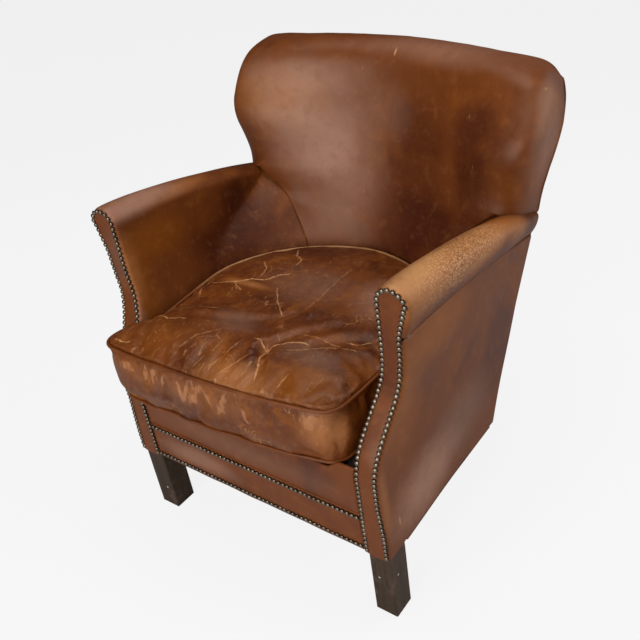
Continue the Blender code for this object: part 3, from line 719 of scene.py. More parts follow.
def arm_leather(name, places, pebbled):
    """An inside arm's leather, with a painted highlight along its seam edges, places of tone and of painted
    sheen and highlight, and a crackled patch on its top.
    """
    colours = bpy.context.scene.chair_colours
    f = Finish(name)
    drift = f.noise(5.5, 5.0, 0.55, warp=0.6)
    cloud = f.noise(17.0, 5.0, 0.6, warp=0.3)
    fine = f.noise(120.0, 4.0, 0.65)
    tone = drift * 0.65 + cloud * 0.35
    shade = f.blend(colours.deep, colours.body, f.band(tone, 0.26, 0.58))
    shade = f.blend(shade, colours.warm, f.band(cloud, 0.50, 0.78) * 0.55)
    shade = f.tinted(shade, places, drift * 0.6 + cloud * 0.4)
    mottle = f.noise(52.0, 6.0, 0.72, warp=0.4)
    shade = f.blend(shade, colours.body, f.band(mottle, 0.48, 0.72) * 0.26)
    shade = f.blend(shade, colours.tan, f.band(mottle, 0.50, 0.28) * 0.18)
    shade = f.blend(shade, colours.deep, f.band(fine, 0.56, 0.78) * 0.2)
    # A painted highlight in pale wear colour along the seam edges.
    edge = f.stored("edge") + (fine - 0.5) * 0.0008
    shade = f.blend(shade, colours.pale, f.band(edge, 0.0026, 0.0012) * f.band(cloud, 0.30, 0.60) * 0.55)
    height = fine * 0.5 + cloud * 0.6 + f.band(f.cells(620.0), 0.0, 0.22) * 0.25
    if pebbled:
        veins = f.band(f.cells(210.0), 0.16, 0.04)
        patch = f.near((0.318, 0.240, 0.620), (0.06, 0.230, 0.055), drift * 0.5 + cloud * 0.5)
        rubbed = patch * f.band(f.noise(230.0, 3.0, 0.7), 0.42, 0.60)
        shade = f.blend(shade, colours.pale, rubbed * 0.62)
        shade = f.blend(shade, colours.body, veins * patch * 0.60)
        height = height - veins * patch * 0.9
    f.set("Base Color", shade)
    f.set("Roughness", 0.35 + cloud * 0.14 + fine * 0.06)
    f.waxed()
    f.bump(height, 0.35, 0.0006)
    return f.made


def nail_metal():
    """Antique bronze, bright on top of each head and dark round its rim: patina, and painted shade where the
    head meets the leather.
    """
    colours = bpy.context.scene.chair_colours
    f = Finish("antique_bronze")
    # Darker towards each head's rim as patina and as painted shade, brighter towards its top.
    worn = f.stored("height") + f.stored("tone") * 0.25 + (f.noise(420.0, 3.0, 0.6) - 0.5) * 0.5
    shade = f.blend(tuple(c * 0.10 for c in colours.brass), colours.brass, f.band(worn, 0.25, 1.15))
    spots = f.noise(900.0, 2.0, 0.6)
    f.set("Base Color", shade)
    f.set("Metallic", 1.0)
    f.set("Roughness", 0.28 + spots * 0.20)
    f.bump(spots, 0.15, 0.0003)
    return f.made


LEG_CHIPS = ((0.2935, 0.020, 0.0980), (0.2640, 0.004, 0.0900), (-0.2650, 0.004, 0.0500))


def leg_stain():
    """Dark stained wood, with fine upright grain, scuffs and small chips."""
    colours = bpy.context.scene.chair_colours
    f = Finish("dark_leg_wood")
    grain = f.noise(2.0, 5.0, place=f.stretched(90.0, 90.0, 5.0), warp=0.4)
    cloud = f.noise(28.0, 4.0, 0.6)
    shade = f.blend(tuple(c * 0.55 for c in colours.leg), colours.leg, f.band(grain, 0.32, 0.68))
    shade = f.blend(shade, srgb(108, 88, 76), f.band(cloud, 0.52, 0.78) * 0.45)
    scuff = f.noise(3.0, 2.0, place=f.stretched(20.0, 20.0, 120.0))
    shade = f.blend(shade, srgb(150, 128, 108), f.band(scuff, 0.70, 0.74) * f.band(cloud, 0.5, 0.6) * 0.6)
    for centre in LEG_CHIPS:
        shade = f.blend(shade, srgb(216, 204, 188), f.near(centre, (0.0035, 0.0035, 0.0030), cloud))
    f.set("Base Color", shade)
    f.set("Roughness", 0.42 + cloud * 0.22)
    f.set("Specular Tint", (1.0, 0.80, 0.62, 1.0))
    f.bump(grain * 0.8 + cloud * 0.3, 0.3, 0.0005)
    return f.made


def frame_timber():
    """Bare timber with long, soft growth rings."""
    f = Finish("bare_timber")
    rings = f.noise(1.6, 6.0, place=f.stretched(6.0, 60.0, 60.0), warp=0.6)
    cloud = f.noise(24.0, 3.0, 0.5)
    shade = f.blend(srgb(150, 112, 74), srgb(206, 170, 122), f.band(rings, 0.35, 0.65))
    f.set("Base Color", f.blend(shade, srgb(120, 92, 64), f.band(cloud, 0.55, 0.8) * 0.4))
    f.set("Roughness", 0.68 + cloud * 0.15)
    f.bump(rings, 0.3, 0.0006)
    return f.made


def woven(name, dark, light, pitch):
    """Plain weave of crossing threads."""
    f = Finish(name)
    split = f.node("ShaderNodeSeparateXYZ", {}, {0: f.place}, "X")
    parts = split.socket.node.outputs
    turn = 2.0 * math.pi / pitch
    warp = split.math("SINE", Signal(f, parts["X"]) * turn, 0.0)
    weft = split.math("SINE", Signal(f, parts["Y"]) * turn, 0.0)
    thread = warp * weft * 0.5 + 0.5
    dust = f.noise(35.0, 4.0, 0.6)
    shade = f.blend(dark, light, thread * 0.7 + dust * 0.3)
    f.set("Base Color", shade)
    f.set("Roughness", 0.85 + dust * 0.1)
    f.bump(thread, 0.5, 0.0006)
    return f.made


def thread_finish():
    f = Finish("waxed_thread")
    twist = f.noise(900.0, 2.0, 0.5)
    f.set("Base Color", f.blend(srgb(30, 18, 14), srgb(70, 44, 32), twist))
    f.set("Roughness", 0.6 + twist * 0.2)
    return f.made


# ---- Back -----------------------------------------------------------------------------
CREST_LOSS = 0.0045       # height that easing the crest's curve takes off it
WING_SWEEP = 0.062        # how far the back's face comes forward at the foot of its wings
# Columns of the back's right half: over its face, round the wing, and back to the corner.
FACE_COLUMNS = 46
ROUND_COLUMNS = 16
WALL_COLUMNS = 14
WING_COLUMNS = ROUND_COLUMNS + WALL_COLUMNS
LOW_ROWS = 60             # rows of the back's face between the arms
HIGH_ROWS = 64            # and above them


def swept(share):
    """How far the back's face has come forward, level again at its end."""
    return share ** 2 * (2.0 - share ** 2)


def low_back_row(z):
    """Right half of the back's face at a height between the arms."""
    half, middle, forward = seat_barrel(z)
    share = np.linspace(0.0, 1.0, FACE_COLUMNS)
    x, depth = barrel_point(half, middle, forward, share * seam_angle(z))
    high = smooth((z - 0.500) / 0.085)
    even = middle - mix(middle - depth[-1], WING_SWEEP, high) * swept(share)
    x, depth = mix(x, share * x[-1], high), mix(depth, even, high)
    tuck = np.linspace(0.0, 1.0, WING_COLUMNS + 1)[1:]
    return np.concatenate((stack(x, depth, z), stack(x[-1] + 0.001 * tuck, depth[-1] + 0.0080 * tuck, z)))


def high_back_row(z):
    """Right half of the back's face above the arms, round the wing to the rear corner."""
    z = np.broadcast_to(z, FACE_COLUMNS + WING_COLUMNS)
    wing = side_x(z)
    middle = back_face_depth(z)
    sag = WING_SWEEP + 0.034 * smooth((z - 0.590) / 0.13) - 0.034 * smooth((z - 0.670) / 0.15)
    round_x = 0.044 - 0.010 * smooth((z - 0.60) / 0.12)
    round_depth = 0.060 - 0.006 * smooth((z - 0.60) / 0.12)
    share = np.concatenate((np.linspace(0.0, 1.0, FACE_COLUMNS), np.ones(WING_COLUMNS)))
    x = share * (wing - round_x)
    depth = middle - sag * swept(share)
    angle = np.linspace(0.0, math.pi / 2, ROUND_COLUMNS + 1)[1:]
    turn = slice(FACE_COLUMNS, FACE_COLUMNS + ROUND_COLUMNS)
    x[turn] += round_x[turn] * np.sin(angle) ** 0.80
    depth[turn] += round_depth[turn] * (1.0 - np.maximum(np.cos(angle), 0.0) ** 0.80)
    wall = slice(FACE_COLUMNS + ROUND_COLUMNS, None)
    x[wall] += round_x[wall]
    start = depth[wall] + round_depth[wall]
    depth[wall] = mix(start, corner_depth(z[wall]) + 0.0005, eased(WALL_COLUMNS + 1, 0.5)[1:])
    return stack(x, depth, z)


def settled_row(z):
    """A row of the high back whose wings reach down behind, onto the arms' falling tops."""
    row = high_back_row(z)
    settle = ((CREST_Z - z) / (CREST_Z - BACK_LEDGE)) ** 2
    fall = np.maximum(arm_fall(row[:, 1]) - arm_fall(ARM_MEETS_WING), 0.0)
    sunk = z - settle * fall * smooth((row[:, 0] - 0.283) / 0.020)
    foot = smooth(1.0 - (z - BACK_LEDGE) / 0.035)
    return high_back_row(sunk - 0.007 * foot * smooth((row[:, 0] - 0.250) / 0.030))


def crest_rows():
    """Over the top of the back: up its front, across, and down to the seam behind."""
    front = mirror(high_back_row(CREST_Z))
    half = side_x(CREST_Z)
    stops = np.concatenate((np.linspace(0.0, 8.0, FACE_COLUMNS),
                            np.linspace(8.0, 12.0, ROUND_COLUMNS + 1)[1:],
                            np.linspace(12.0, 14.0, WALL_COLUMNS + 1)[1:])) / 14.0
    x = half * stops
    rear = mirror(stack(x, rear_depth(x, CREST_Z), CREST_Z))
    beyond = np.clip(np.arange(len(x)) - FACE_COLUMNS + 1, 0, None) / WING_COLUMNS
    closing = mirror(stack(0.0, (1.0 - beyond ** 3) ** 0.5, 0.0))[:, 1]
    rows = []
    angles = np.radians(np.linspace(4.0, 90.0, 16))
    route = [(a, 0.62, front, rear) for a in angles] + [(a, 0.38, rear, front) for a in angles[::-1]]
    for angle, share, near, far in route:
        lift, shrink = math.sin(angle), 1.0 - math.cos(angle)
        drawn = 0.85 * shrink * share
        row = mix(near, far, drawn)
        row[:, 0] *= 1.0 - 0.04 * shrink
        drop = 0.010 * smooth((np.abs(near[:, 0]) - 0.22) / 0.16)
        row[:, 2] = CREST_Z + lift * (BACK_TOP + CREST_LOSS - CREST_Z - drop) * closing
        rows.append(row)
    return rows


def make_inside_back():
    """The back's front, from the deck up between the arms, out over them and over the crest."""
    rows = [mirror(low_back_row(z)) for z in np.linspace(DECK_Z + 0.015, BACK_LEDGE - 0.001, LOW_ROWS)]
    high = [mirror(settled_row(z)) for z in mix(BACK_LEDGE, CREST_Z, eased(HIGH_ROWS, 0.5))]
    below = rows[-1]
    rows += [mix(below, high[0], share) for share in (0.2, 0.4, 0.6, 0.8)]
    ledge = len(rows)
    face = relaxed(np.array(rows + high + crest_rows()), 6, 0)
    crest = ledge + 40
    face[crest:] = relaxed(face[crest:], 60, 0)
    waist = (slice(ledge - 22, ledge + 12), slice(WING_COLUMNS + 4, -WING_COLUMNS - 4))
    face[waist] = relaxed(face[waist], 30, 0)
    face = relaxed(face, 6, 1)
    out = -1.0
    face = uneven(face, out, 0.0012, 9.0, 3.0)
    face = uneven(face, out, 0.0004, 40.0, 7.0)
    face = rolled(face, out, 0.0026, ("low", "high", "start", "end"))
    finish = leather("back_leather", BACK_PLACES, 0.46, 0.6, 0.34, 0.2)
    piece = add_panel("inside_back_cover", face, out, finish)
    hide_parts("inside_back")


def make_outside_back():
    """The curved panel behind, from the hem to the crest's seam."""
    across = mix(-1.0, 1.0, eased(120, 0.6))[None, :]
    top = CREST_Z + 0.002 - 0.003 * np.abs(across) ** 7
    z = mix(HEM_Z, top, eased(90, 0.6)[:, None])
    x = side_x(z) * across
    face = stack(x + 0.0010 * across, rear_depth(x, z), z)
    out = -1.0
    face = uneven(face, out, 0.0016, 7.0, 11.0)
    face = rolled(face, out, 0.0030, ("low", "high", "start", "end"))
    finish = leather("outer_back_leather", REAR_PLACES, 0.48, 0.8)
    piece = add_panel("outside_back_cover", face, out, finish)
    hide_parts("outside_back")


def make_back_stitches():
    """Hand stitches that close the back's two rear edges, each pulled into the leather."""
    stitch = bpy.context.scene.chair_sizes.stitch
    steps, sides = 9, 6
    finish = thread_finish()
    for side, word in SIDES:
        points, faces = [], []
        for z in np.arange(0.600, 0.780, 0.0265):
            t = np.linspace(0.0, 1.0, steps)
            x = side_x(z) - 0.0020 + 0.0030 * np.sin(math.pi * t)
            depth = corner_depth(z) + mix(-0.6, 0.35, t) * stitch
            path = np.stack((x, depth, z + 0.0035 * t), axis=1)
            start = len(points)
            for k, centre in enumerate(path):
                width = 0.0008 * math.sqrt(math.sin(math.pi * min(max(t[k], 0.06), 0.94)))
                for s in range(sides):
                    a = 2.0 * math.pi * s / sides
                    points.append(centre + (width * math.cos(a), 0.0, width * math.sin(a)))
            faces += grid_faces(steps, sides, start, closed=True)
            faces += [list(range(end, end + sides)) for end in (start, start + (steps - 1) * sides)]
        placed = np.array(points) * (side, 1.0, 1.0)
        add_mesh("rear_stitches_" + word, placed, faces, finish)


# ---- Arms -----------------------------------------------------------------------------
def arm_outline():
    """Section of an inside arm from the hem, over the roll and under its lip, with normals."""
    z = np.concatenate((np.linspace(HEM_Z, 0.35, 34)[:-1], np.linspace(0.35, ROLL_Z - 0.001, 44)))
    inside = np.stack((arm_inner_x(z), z), axis=1)
    angle = np.radians(np.linspace(176.0, 2.0, 44))
    crown = np.stack((ROLL_X + ROLL_R * np.cos(angle), ROLL_Z + ROLL_R * np.sin(angle)), axis=1)
    t = np.linspace(0.0, 1.0, 20)[1:, None]
    corners = np.array(((ROLL_X + ROLL_R, ROLL_Z), (0.3307, 0.596), (0.3225, 0.577), (LIP_X, LIP_Z)))
    weights = ((1 - t) ** 3, 3 * t * (1 - t) ** 2, 3 * t ** 2 * (1 - t), t ** 3)
    lip = sum(weight * corner for weight, corner in zip(weights, corners))
    section = np.concatenate((inside, crown, lip))
    along = np.gradient(section, axis=0)
    along /= np.linalg.norm(along, axis=1, keepdims=True)
    return section, np.stack((-along[:, 1], along[:, 0]), axis=1)


def wrapped_front(section, outward):
    """Rows of an arm cover turned round the arm's front edge, from the facing's edge back."""
    rows = []
    flat = [(EDGE_WRAP + step, 0.0) for step in (0.0040, 0.0025, 0.0010)]
    turn = [(EDGE_WRAP * (1.0 - math.sin(a)), EDGE_WRAP * (1.0 - math.cos(a)))
            for a in np.radians(np.linspace(0.0, 90.0, 11))]
    for inset, back in flat + turn:
        moved = section - outward * inset
        rows.append(stack(moved[:, 0], facing_depth(moved[:, 1]) + back, moved[:, 1]))
    return rows


def arm_row(section, t):
    """A row of the inside arm: straight back from the front, then round to its seam."""
    x, z = section[:, 0].copy(), section[:, 1]
    near = facing_depth(z) + EDGE_WRAP
    outside = np.arange(len(z)) > np.argmax(z)
    outside &= x > ROLL_X
    far = arm_end_depth(z, np.where(outside, 0.0030, 0.052))
    lowered = arm_height(z, arm_end_depth(z, 0.052) - 0.030)
    _, middle, forward = seat_barrel(lowered)
    last = seam_angle(lowered) - 0.004
    turn = np.minimum(forward, far - 0.012)
    x -= np.where(outside, 0.40 * (x - ROLL_X) * t ** 2, 0.0)
    if t <= 0.5:
        depth = mix(near, turn, 2.0 * t)
    else:
        straight = outside | (last > math.pi / 2)
        bent_x, bent = barrel_point(x, middle, forward, mix(math.pi / 2, last, 2.0 * t - 1.0))
        x = np.where(straight, x, bent_x)
        depth = np.where(straight, mix(turn, far, 2.0 * t - 1.0), bent)
    return stack(x, depth, arm_height(z, depth))


def make_inside_arm(side, word, finish):
    """From beside the cushion up over the roll, and back round to its seam with the back."""
    section, outward = arm_outline()
    rows = wrapped_front(section, outward)
    stops = np.concatenate((np.linspace(0.0, 0.5, 40)[1:], mix(0.5, 1.0, eased(56, 0.5))[1:]))
    rows += [arm_row(section, t) for t in stops]
    face = np.array(rows)
    # Below the cushion the cover stops just behind the front, clear of the border.
    low = smooth((0.330 - face[0, :, 2]) / 0.050)
    front = facing_depth(section[:, 1]) + EDGE_WRAP
    short = front + 0.014 * np.linspace(0.0, 1.0, len(face))[:, None]
    depth = face[..., 1]
    face[..., 1] = np.where(depth > front, mix(depth, np.minimum(depth, short), low), depth)
    face[..., 0] = mix(face[..., 0], np.maximum(face[..., 0], SEAT_HALF), low)
    face = relaxed(relaxed(face, 3, 0), 2, 1)
    # Its rows are evened out where they turn round towards the back.
    turning = smooth((np.arange(len(face)) - 34.0) / 16.0)[:, None, None]
    face = mix(face, relaxed(face, 70, 0), turning)
    # Distance to the rear seam and to the lip under the roll, along which the finish paints a highlight.
    edge = edge_distance(face, ("high", "end"))
    out = facing_out(face, (60, 90), 0, -1.0)
    face = uneven(face, out, 0.0010, 11.0, 5.0 + side)
    face = rolled(face, out, 0.0026, ("high", "end"))
    piece = add_panel("inside_arm_cover_" + word, face, out, finish, side,
                      attributes={"edge": np.minimum(edge, 0.05)})
    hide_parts("inside_arm_" + word)


def make_outside_arm(side, word, finish):
    """From the front edge back along the side to the rear corner."""
    z = mix(HEM_Z, 0.5600, eased(90, 0.6))
    outline = np.stack((arm_outer_x(z), z), axis=1)
    outward = np.tile((1.0, 0.0), (len(z), 1))
    rows = wrapped_front(outline, outward)
    for t in eased(80, 0.6)[1:]:
        depth = mix(facing_depth(z) + EDGE_WRAP, arm_end_depth(z, 0.0010), t)
        x = mix(arm_outer_x(z), side_x(z), smooth(t * 1.6))
        rows.append(stack(x, depth, arm_height(z, depth)))
    face = relaxed(np.array(rows), 2, 0)
    out = facing_out(face, (40, 40), 0, 1.0)
    face = uneven(face, out, 0.0011, 8.0, 17.0 + side)
    face = rolled(face, out, 0.0035, ("high", "start", "end"))
    piece = add_panel("outside_arm_cover_" + word, face, out, finish, side)
    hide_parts("outside_arm_" + word)


def make_facing(side, word, finish):
    """The serpentine panel between an arm front's two rows of nails."""
    inset = NAIL_INSET - 0.0015
    lower = np.linspace(HEM_Z, ROLL_Z, 110)
    radius = ROLL_R - inset
    angle = np.radians(np.linspace(3.0, 84.0, 22))
    left = np.concatenate((arm_inner_x(lower) + inset, ROLL_X - radius * np.cos(angle)))
    right = np.concatenate((arm_outer_x(lower) - inset, ROLL_X + radius * np.cos(angle)))
    z = np.concatenate((lower, ROLL_Z + radius * np.sin(angle)))
    across = eased(22, 0.7)[None, :]
    x = mix(left[:, None], right[:, None], across)
    puff = 0.0016 * (1.0 - np.abs(2.0 * across - 1.0) ** 3)
    face = stack(x, facing_depth(z)[:, None] - 0.0006 - puff, z[:, None])
    out = facing_out(face, (50, 10), 1, -1.0)
    face = uneven(face, out, 0.0005, 24.0, 23.0)
    face = rolled(face, out, 0.0014, ("start", "end", "high"))
    piece = add_panel("arm_facing_panel_" + word, face, out, finish, side, 0.0016)
    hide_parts("arm_facing_" + word)


# ---- Border, deck and underside -------------------------------------------------------
def make_border(finish):
    """The two bands across the front under the cushion."""
    half = SEAT_HALF - GAP
    # Each as (node, foot, top, how far its top is pushed up at its right end).
    bands = (("front_band_lower", HEM_Z, BAND_SPLIT_Z, 0.0),
             ("front_band_upper", BAND_SPLIT_Z, DECK_Z, 0.016))
    x = mix(-half, half, eased(150, 0.4))[None, :]
    for name, low, high, push in bands:
        rise = push * smooth((x - 0.185) / 0.030)
        z = mix(low, high + rise, eased(40, 0.7)[:, None])
        swell = 0.0014 * (1.0 - ((z - low) / (high - low) * 2.0 - 1.0) ** 4)
        face = stack(x, 0.0004 - swell, z)
        out = facing_out(face, (20, 60), 1, -1.0)
        face = uneven(face, out, 0.0008, 18.0, low * 90.0)
        face = rolled(face, out, 0.0030, ("low", "high", "start", "end"))
        piece = add_panel(name.replace("front_band", "border"), face, out, finish)
        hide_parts(name)


def loft_plan(name, plans, finish):
    """A closed body through level rings of one plan, capped flat at both ends."""
    columns = len(plans[0])
    points = np.concatenate(plans)
    faces = grid_faces(len(plans), columns, closed=True)
    faces += [list(range(columns)), list(range(len(points) - columns, len(points)))]
    return add_mesh(name, points, faces, finish)


def make_deck():
    """The sprung deck under the cushion, in platform cloth, soft at its edges."""
    plans = []
    rise = DECK_Z - DECK_BOTTOM
    for share, inset in ((0.0, 0.006), (0.06, 0.0015), (0.2, 0.0), (0.8, 0.0), (0.94, 0.003), (1.0, 0.012)):
        z = DECK_BOTTOM + rise * share
        half, middle, forward = (float(v) - 0.008 - inset for v in seat_barrel(np.array(z)))
        x, depth = barrel_point(half, middle, forward, np.linspace(0.0, math.pi / 2, 24))
        right = stack(x, depth, z)
        front = stack(np.linspace(half, -half, 20), FACING + GAP + inset, z)
        plans.append(np.concatenate((mirror(right), front)))
    finish = woven("platform_cloth", srgb(30, 26, 24), srgb(64, 56, 50), 0.0011)
    piece = loft_plan("seat_deck_pad", plans, finish)
    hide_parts("seat_deck")


def make_dust_cover():
    """Thin black cloth tacked under the seat, sagging a little between the rails."""
    depth = np.linspace(DUST_LOW.y - FRONT_Y, DUST_HIGH.y - FRONT_Y - 0.0006, 60)
    half = np.where((depth < 0.056) | (depth > 0.334), 0.250, 0.278)
    reach = np.clip(1.0 - (depth + 0.012 - corner_depth(HEM_Z)) / REAR_BULGE, 0.0, 1.0)
    half = np.minimum(half, side_x(HEM_Z) * np.sqrt(reach))[:, None]
    across = np.linspace(-1.0, 1.0, 70)[None, :]
    x = half * across
    span = (depth - depth[0]) / (depth[-1] - depth[0])
    sag = 0.0009 * (1.0 - across ** 2) * np.sin(math.pi * span)[:, None]
    face = stack(x, depth[:, None], DUST_HIGH.z - 0.0004 - sag)
    face[..., 2] += 0.0003 * field(face, 45.0, 2.0)
    out = facing_out(face, (30, 30), 2, 1.0)
    finish = woven("black_cambric", srgb(16, 16, 17), srgb(38, 37, 38), 0.0013)
    piece = add_panel("dust_cover_cloth", face, out, finish, thick=0.0006)
    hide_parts("dust_cover")


def make_hem_welts(finish):
    """Thin welts along the foot of the sides and of the back."""
    drop = HEM_Z - 0.0008
    t = np.linspace(0.13, 0.97, 90)
    depth = mix(FACING, corner_depth(HEM_Z) - COVER, t)
    for side, word in SIDES:
        x = mix(float(arm_outer_x(HEM_Z)), float(side_x(HEM_Z)), smooth(t * 1.6))
        path = np.stack((side * (x - WELT_RADIUS), depth, np.full_like(t, drop)), axis=1)
        piece = add_tube("side_hem_welt_" + word, path, WELT_RADIUS, finish, closed=False)
        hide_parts("hem_welt_" + word)
    x = (float(side_x(HEM_Z)) - 0.012) * np.linspace(-1.0, 1.0, 110)
    path = np.stack((x, rear_depth(x, HEM_Z) - 0.0045, np.full_like(x, drop)), axis=1)
    piece = add_tube("rear_hem_welt", path, WELT_RADIUS, finish, closed=False)
    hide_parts("hem_welt_back")


# ---- Nails ----------------------------------------------------------------------------
def evenly(path, pitch):
    """Points a pitch apart along a path, ends included."""
    path = np.asarray(path, float)
    run = np.concatenate(([0.0], np.cumsum(np.linalg.norm(np.diff(path, axis=0), axis=1))))
    stops = np.linspace(0.0, run[-1], max(int(round(run[-1] / pitch)), 1) + 1)
    return np.stack([np.interp(stops, run, path[:, k]) for k in range(3)], axis=1)


def add_nails(name, centres, facing, seed):
    """Domed nailheads, each a little turned, out of line and of its own tone."""
    chance = random.Random(seed)
    sizes = bpy.context.scene.chair_sizes
    radius, sides = sizes.nail_width / 2.0, 12
    # Rings of a head from its hidden rim up, as (radius, height), and then its tip.
    profile = ((0.90, -0.16), (1.0, 0.0), (0.97, 0.14), (0.86, 0.33), (0.66, 0.49), (0.38, 0.60))
    tip_height = 0.640
    points, faces, tones, heights = [], [], [], []
    for centre, outward in zip(centres, facing):
        tilt = Vector([outward[k] + chance.uniform(-0.06, 0.06) for k in range(3)]).normalized()
        turn = tilt.to_track_quat("Z", "Y").to_matrix()
        place = Vector(centre) + Vector([chance.uniform(-0.0002, 0.0002) for _ in range(3)])
        tone = chance.random()
        size = radius * chance.uniform(0.97, 1.01)
        start = len(points)
        for wide, high in profile:
            heights += [high / profile[-1][1]] * sides
            for s in range(sides):
                a = 2.0 * math.pi * s / sides
                points.append(place + turn @ Vector((wide * math.cos(a), wide * math.sin(a), high)) * size)
        heights.append(1.0)
        points.append(place + turn @ Vector((0.0, 0.0, tip_height)) * size)
        faces += grid_faces(len(profile), sides, start, closed=True)
        last, tip = start + (len(profile) - 1) * sides, len(points) - 1
        faces += [(last + s, last + (s + 1) % sides, tip) for s in range(sides)]
        faces.append(list(range(start, start + sides)))
        tones += [tone] * (len(profile) * sides + 1)
    metal = bpy.data.materials.get("antique_bronze") or nail_metal()
    # Each point's height up its head, which the finish darkens towards the rim as patina and painted shade.
    marks = {"tone": tones, "height": heights}
    return add_mesh(name, np.array(points), faces, metal, marks, sharp=75.0)


def front_normal(z):
    """Which way the arm's front faces at a height."""
    slope = (facing_depth(z + 0.001) - facing_depth(z - 0.001)) / 0.002
    tilt = np.stack((np.zeros_like(slope), -np.ones_like(slope), slope), axis=1)
    return tilt / np.linalg.norm(tilt, axis=1, keepdims=True)


def make_nails():
    """Rows round both arm fronts and along both border bands, and one nail under each roll."""
    pitch = bpy.context.scene.chair_sizes.nail_pitch
    rise = np.linspace(HEM_Z + 0.0070, ROLL_Z, 160)
    radius = ROLL_R - NAIL_INSET
    over = np.radians(np.linspace(178.0, 2.0, 60))
    outline = np.concatenate((
        np.stack((arm_inner_x(rise) + NAIL_INSET, rise), axis=1),
        np.stack((ROLL_X + radius * np.cos(over), ROLL_Z + radius * np.sin(over)), axis=1),
        np.stack((arm_outer_x(rise) - NAIL_INSET, rise), axis=1)[::-1]))
    for side, word in SIDES:
        path = stack(side * outline[:, 0], facing_depth(outline[:, 1]), outline[:, 1])
        centres = evenly(path, pitch)
        centres[:, 1] = facing_depth(centres[:, 2]) - 0.0010
        add_nails("facing_nails_" + word, centres, front_normal(centres[:, 2]), 10 + side)
        under = stack(side * 0.3110, 0.0840, 0.5620)[None, :]
        add_nails("roll_nail_" + word, under, [(side * 0.8, -0.35, -0.2)], 20 + side)
    reach = SEAT_HALF - 0.0055
    for word, z, seed in (("lower", LOWER_NAILS_Z, 31), ("upper", UPPER_NAILS_Z, 32)):
        centres = evenly([(-reach, -0.0014, z), (reach, -0.0014, z)], pitch)
        add_nails("border_nails_" + word, centres, [(0.0, -1.0, 0.0)] * len(centres), seed)


# ---- Cushion --------------------------------------------------------------------------
# Folds in the cushion's top as (route in plan, width, depth of the fold).
LONG_FOLDS = (
    (((-0.121, 0.088), (-0.056, 0.103), (0.001, 0.127), (0.032, 0.169), (0.030, 0.240), (0.024, 0.357)),
     0.010, 0.0017),
    (((0.039, 0.060), (0.058, 0.093), (0.080, 0.122), (0.118, 0.163)), 0.011, 0.0028),
    (((0.039, 0.060), (0.095, 0.085), (0.149, 0.134), (0.200, 0.180)), 0.013, 0.0017),
    (((0.039, 0.060), (0.054, 0.024), (0.064, -0.010)), 0.010, 0.0018),
    (((-0.235, 0.190), (-0.156, 0.205), (-0.102, 0.230), (-0.060, 0.215)), 0.013, 0.0014),
    (((-0.218, 0.173), (-0.149, 0.125), (-0.117, 0.111)), 0.009, 0.0011),
    (((-0.230, 0.070), (-0.185, 0.059), (-0.126, 0.086)), 0.009, 0.0010),
    (((-0.010, 0.127), (0.090, 0.170), (0.190, 0.240)), 0.014, 0.0011),
)
# Cracks in the cushion's top as (strength, route in plan).
CRACKS = (
    (1.0, ((-0.235, 0.186), (-0.190, 0.192), (-0.156, 0.205), (-0.125, 0.222), (-0.102, 0.230),
           (-0.073, 0.262))),
    (0.9, ((-0.218, 0.173), (-0.200, 0.150), (-0.182, 0.146))),
    (0.8, ((-0.156, 0.205), (-0.138, 0.190), (-0.122, 0.182))),
    (0.8, ((-0.123, 0.353), (-0.105, 0.330), (-0.085, 0.323), (-0.082, 0.300))),
    (0.8, ((-0.230, 0.070), (-0.185, 0.059), (-0.150, 0.066))),
    (0.5, ((-0.230, 0.070), (-0.190, 0.088), (-0.150, 0.108), (-0.120, 0.116))),
    (0.2, ((0.012, 0.127), (0.032, 0.169), (0.031, 0.210))),
    (0.3, ((0.031, 0.210), (0.030, 0.240), (0.024, 0.330))),
    (0.6, ((-0.150, 0.285), (-0.125, 0.262), (-0.118, 0.236))),
    (0.6, ((-0.060, 0.215), (-0.030, 0.180), (0.004, 0.150))),
    (0.9, ((0.039, 0.060), (0.048, 0.075), (0.075, 0.092), (0.100, 0.098))),
    (0.7, ((0.039, 0.060), (0.046, 0.040), (0.054, 0.024), (0.060, 0.002))),
    (0.7, ((0.039, 0.060), (0.024, 0.070), (0.010, 0.073))),
    (0.5, ((0.060, 0.066), (0.098, 0.080), (0.140, 0.112), (0.176, 0.128))),
    (0.9, ((0.160, 0.140), (0.172, 0.146), (0.182, 0.160))),
    (0.5, ((0.082, 0.118), (0.110, 0.120), (0.150, 0.122))),
    (0.9, ((-0.248, -0.010), (-0.232, -0.013), (-0.215, -0.009))),
    (0.5, ((0.112, 0.026), (0.108, 0.010))),
    (0.4, ((-0.105, 0.010), (-0.095, 0.040), (-0.070, 0.065))),
    (0.4, ((-0.035, 0.000), (-0.022, 0.030), (-0.010, 0.060))),
    (0.4, ((-0.010, -0.010), (0.004, 0.018), (0.022, 0.038))),
)
PUCKER = (0.039, 0.060)   # where the top's folds gather, as (x, depth)
STRAY = 0.0035            # how far the folds and cracks stray from their routes
# Ragged rubs down the cushion's front as (x, height of its middle, half height, half width, lean).
RUBS = (
    (-0.205, 0.412, 0.010, 0.020, 0.0), (-0.160, 0.414, 0.022, 0.006, -0.1),
    (-0.142, 0.412, 0.020, 0.008, -0.2), (-0.122, 0.404, 0.016, 0.004, -0.3),
    (-0.084, 0.404, 0.018, 0.006, 0.1), (-0.066, 0.402, 0.026, 0.008, -0.5),
    (-0.046, 0.404, 0.026, 0.009, -0.5), (-0.022, 0.402, 0.017, 0.006, 0.2),
    (0.008, 0.396, 0.028, 0.008, -0.4), (0.052, 0.394, 0.020, 0.006, 0.3),
    (0.180, 0.412, 0.018, 0.020, 0.0),
)


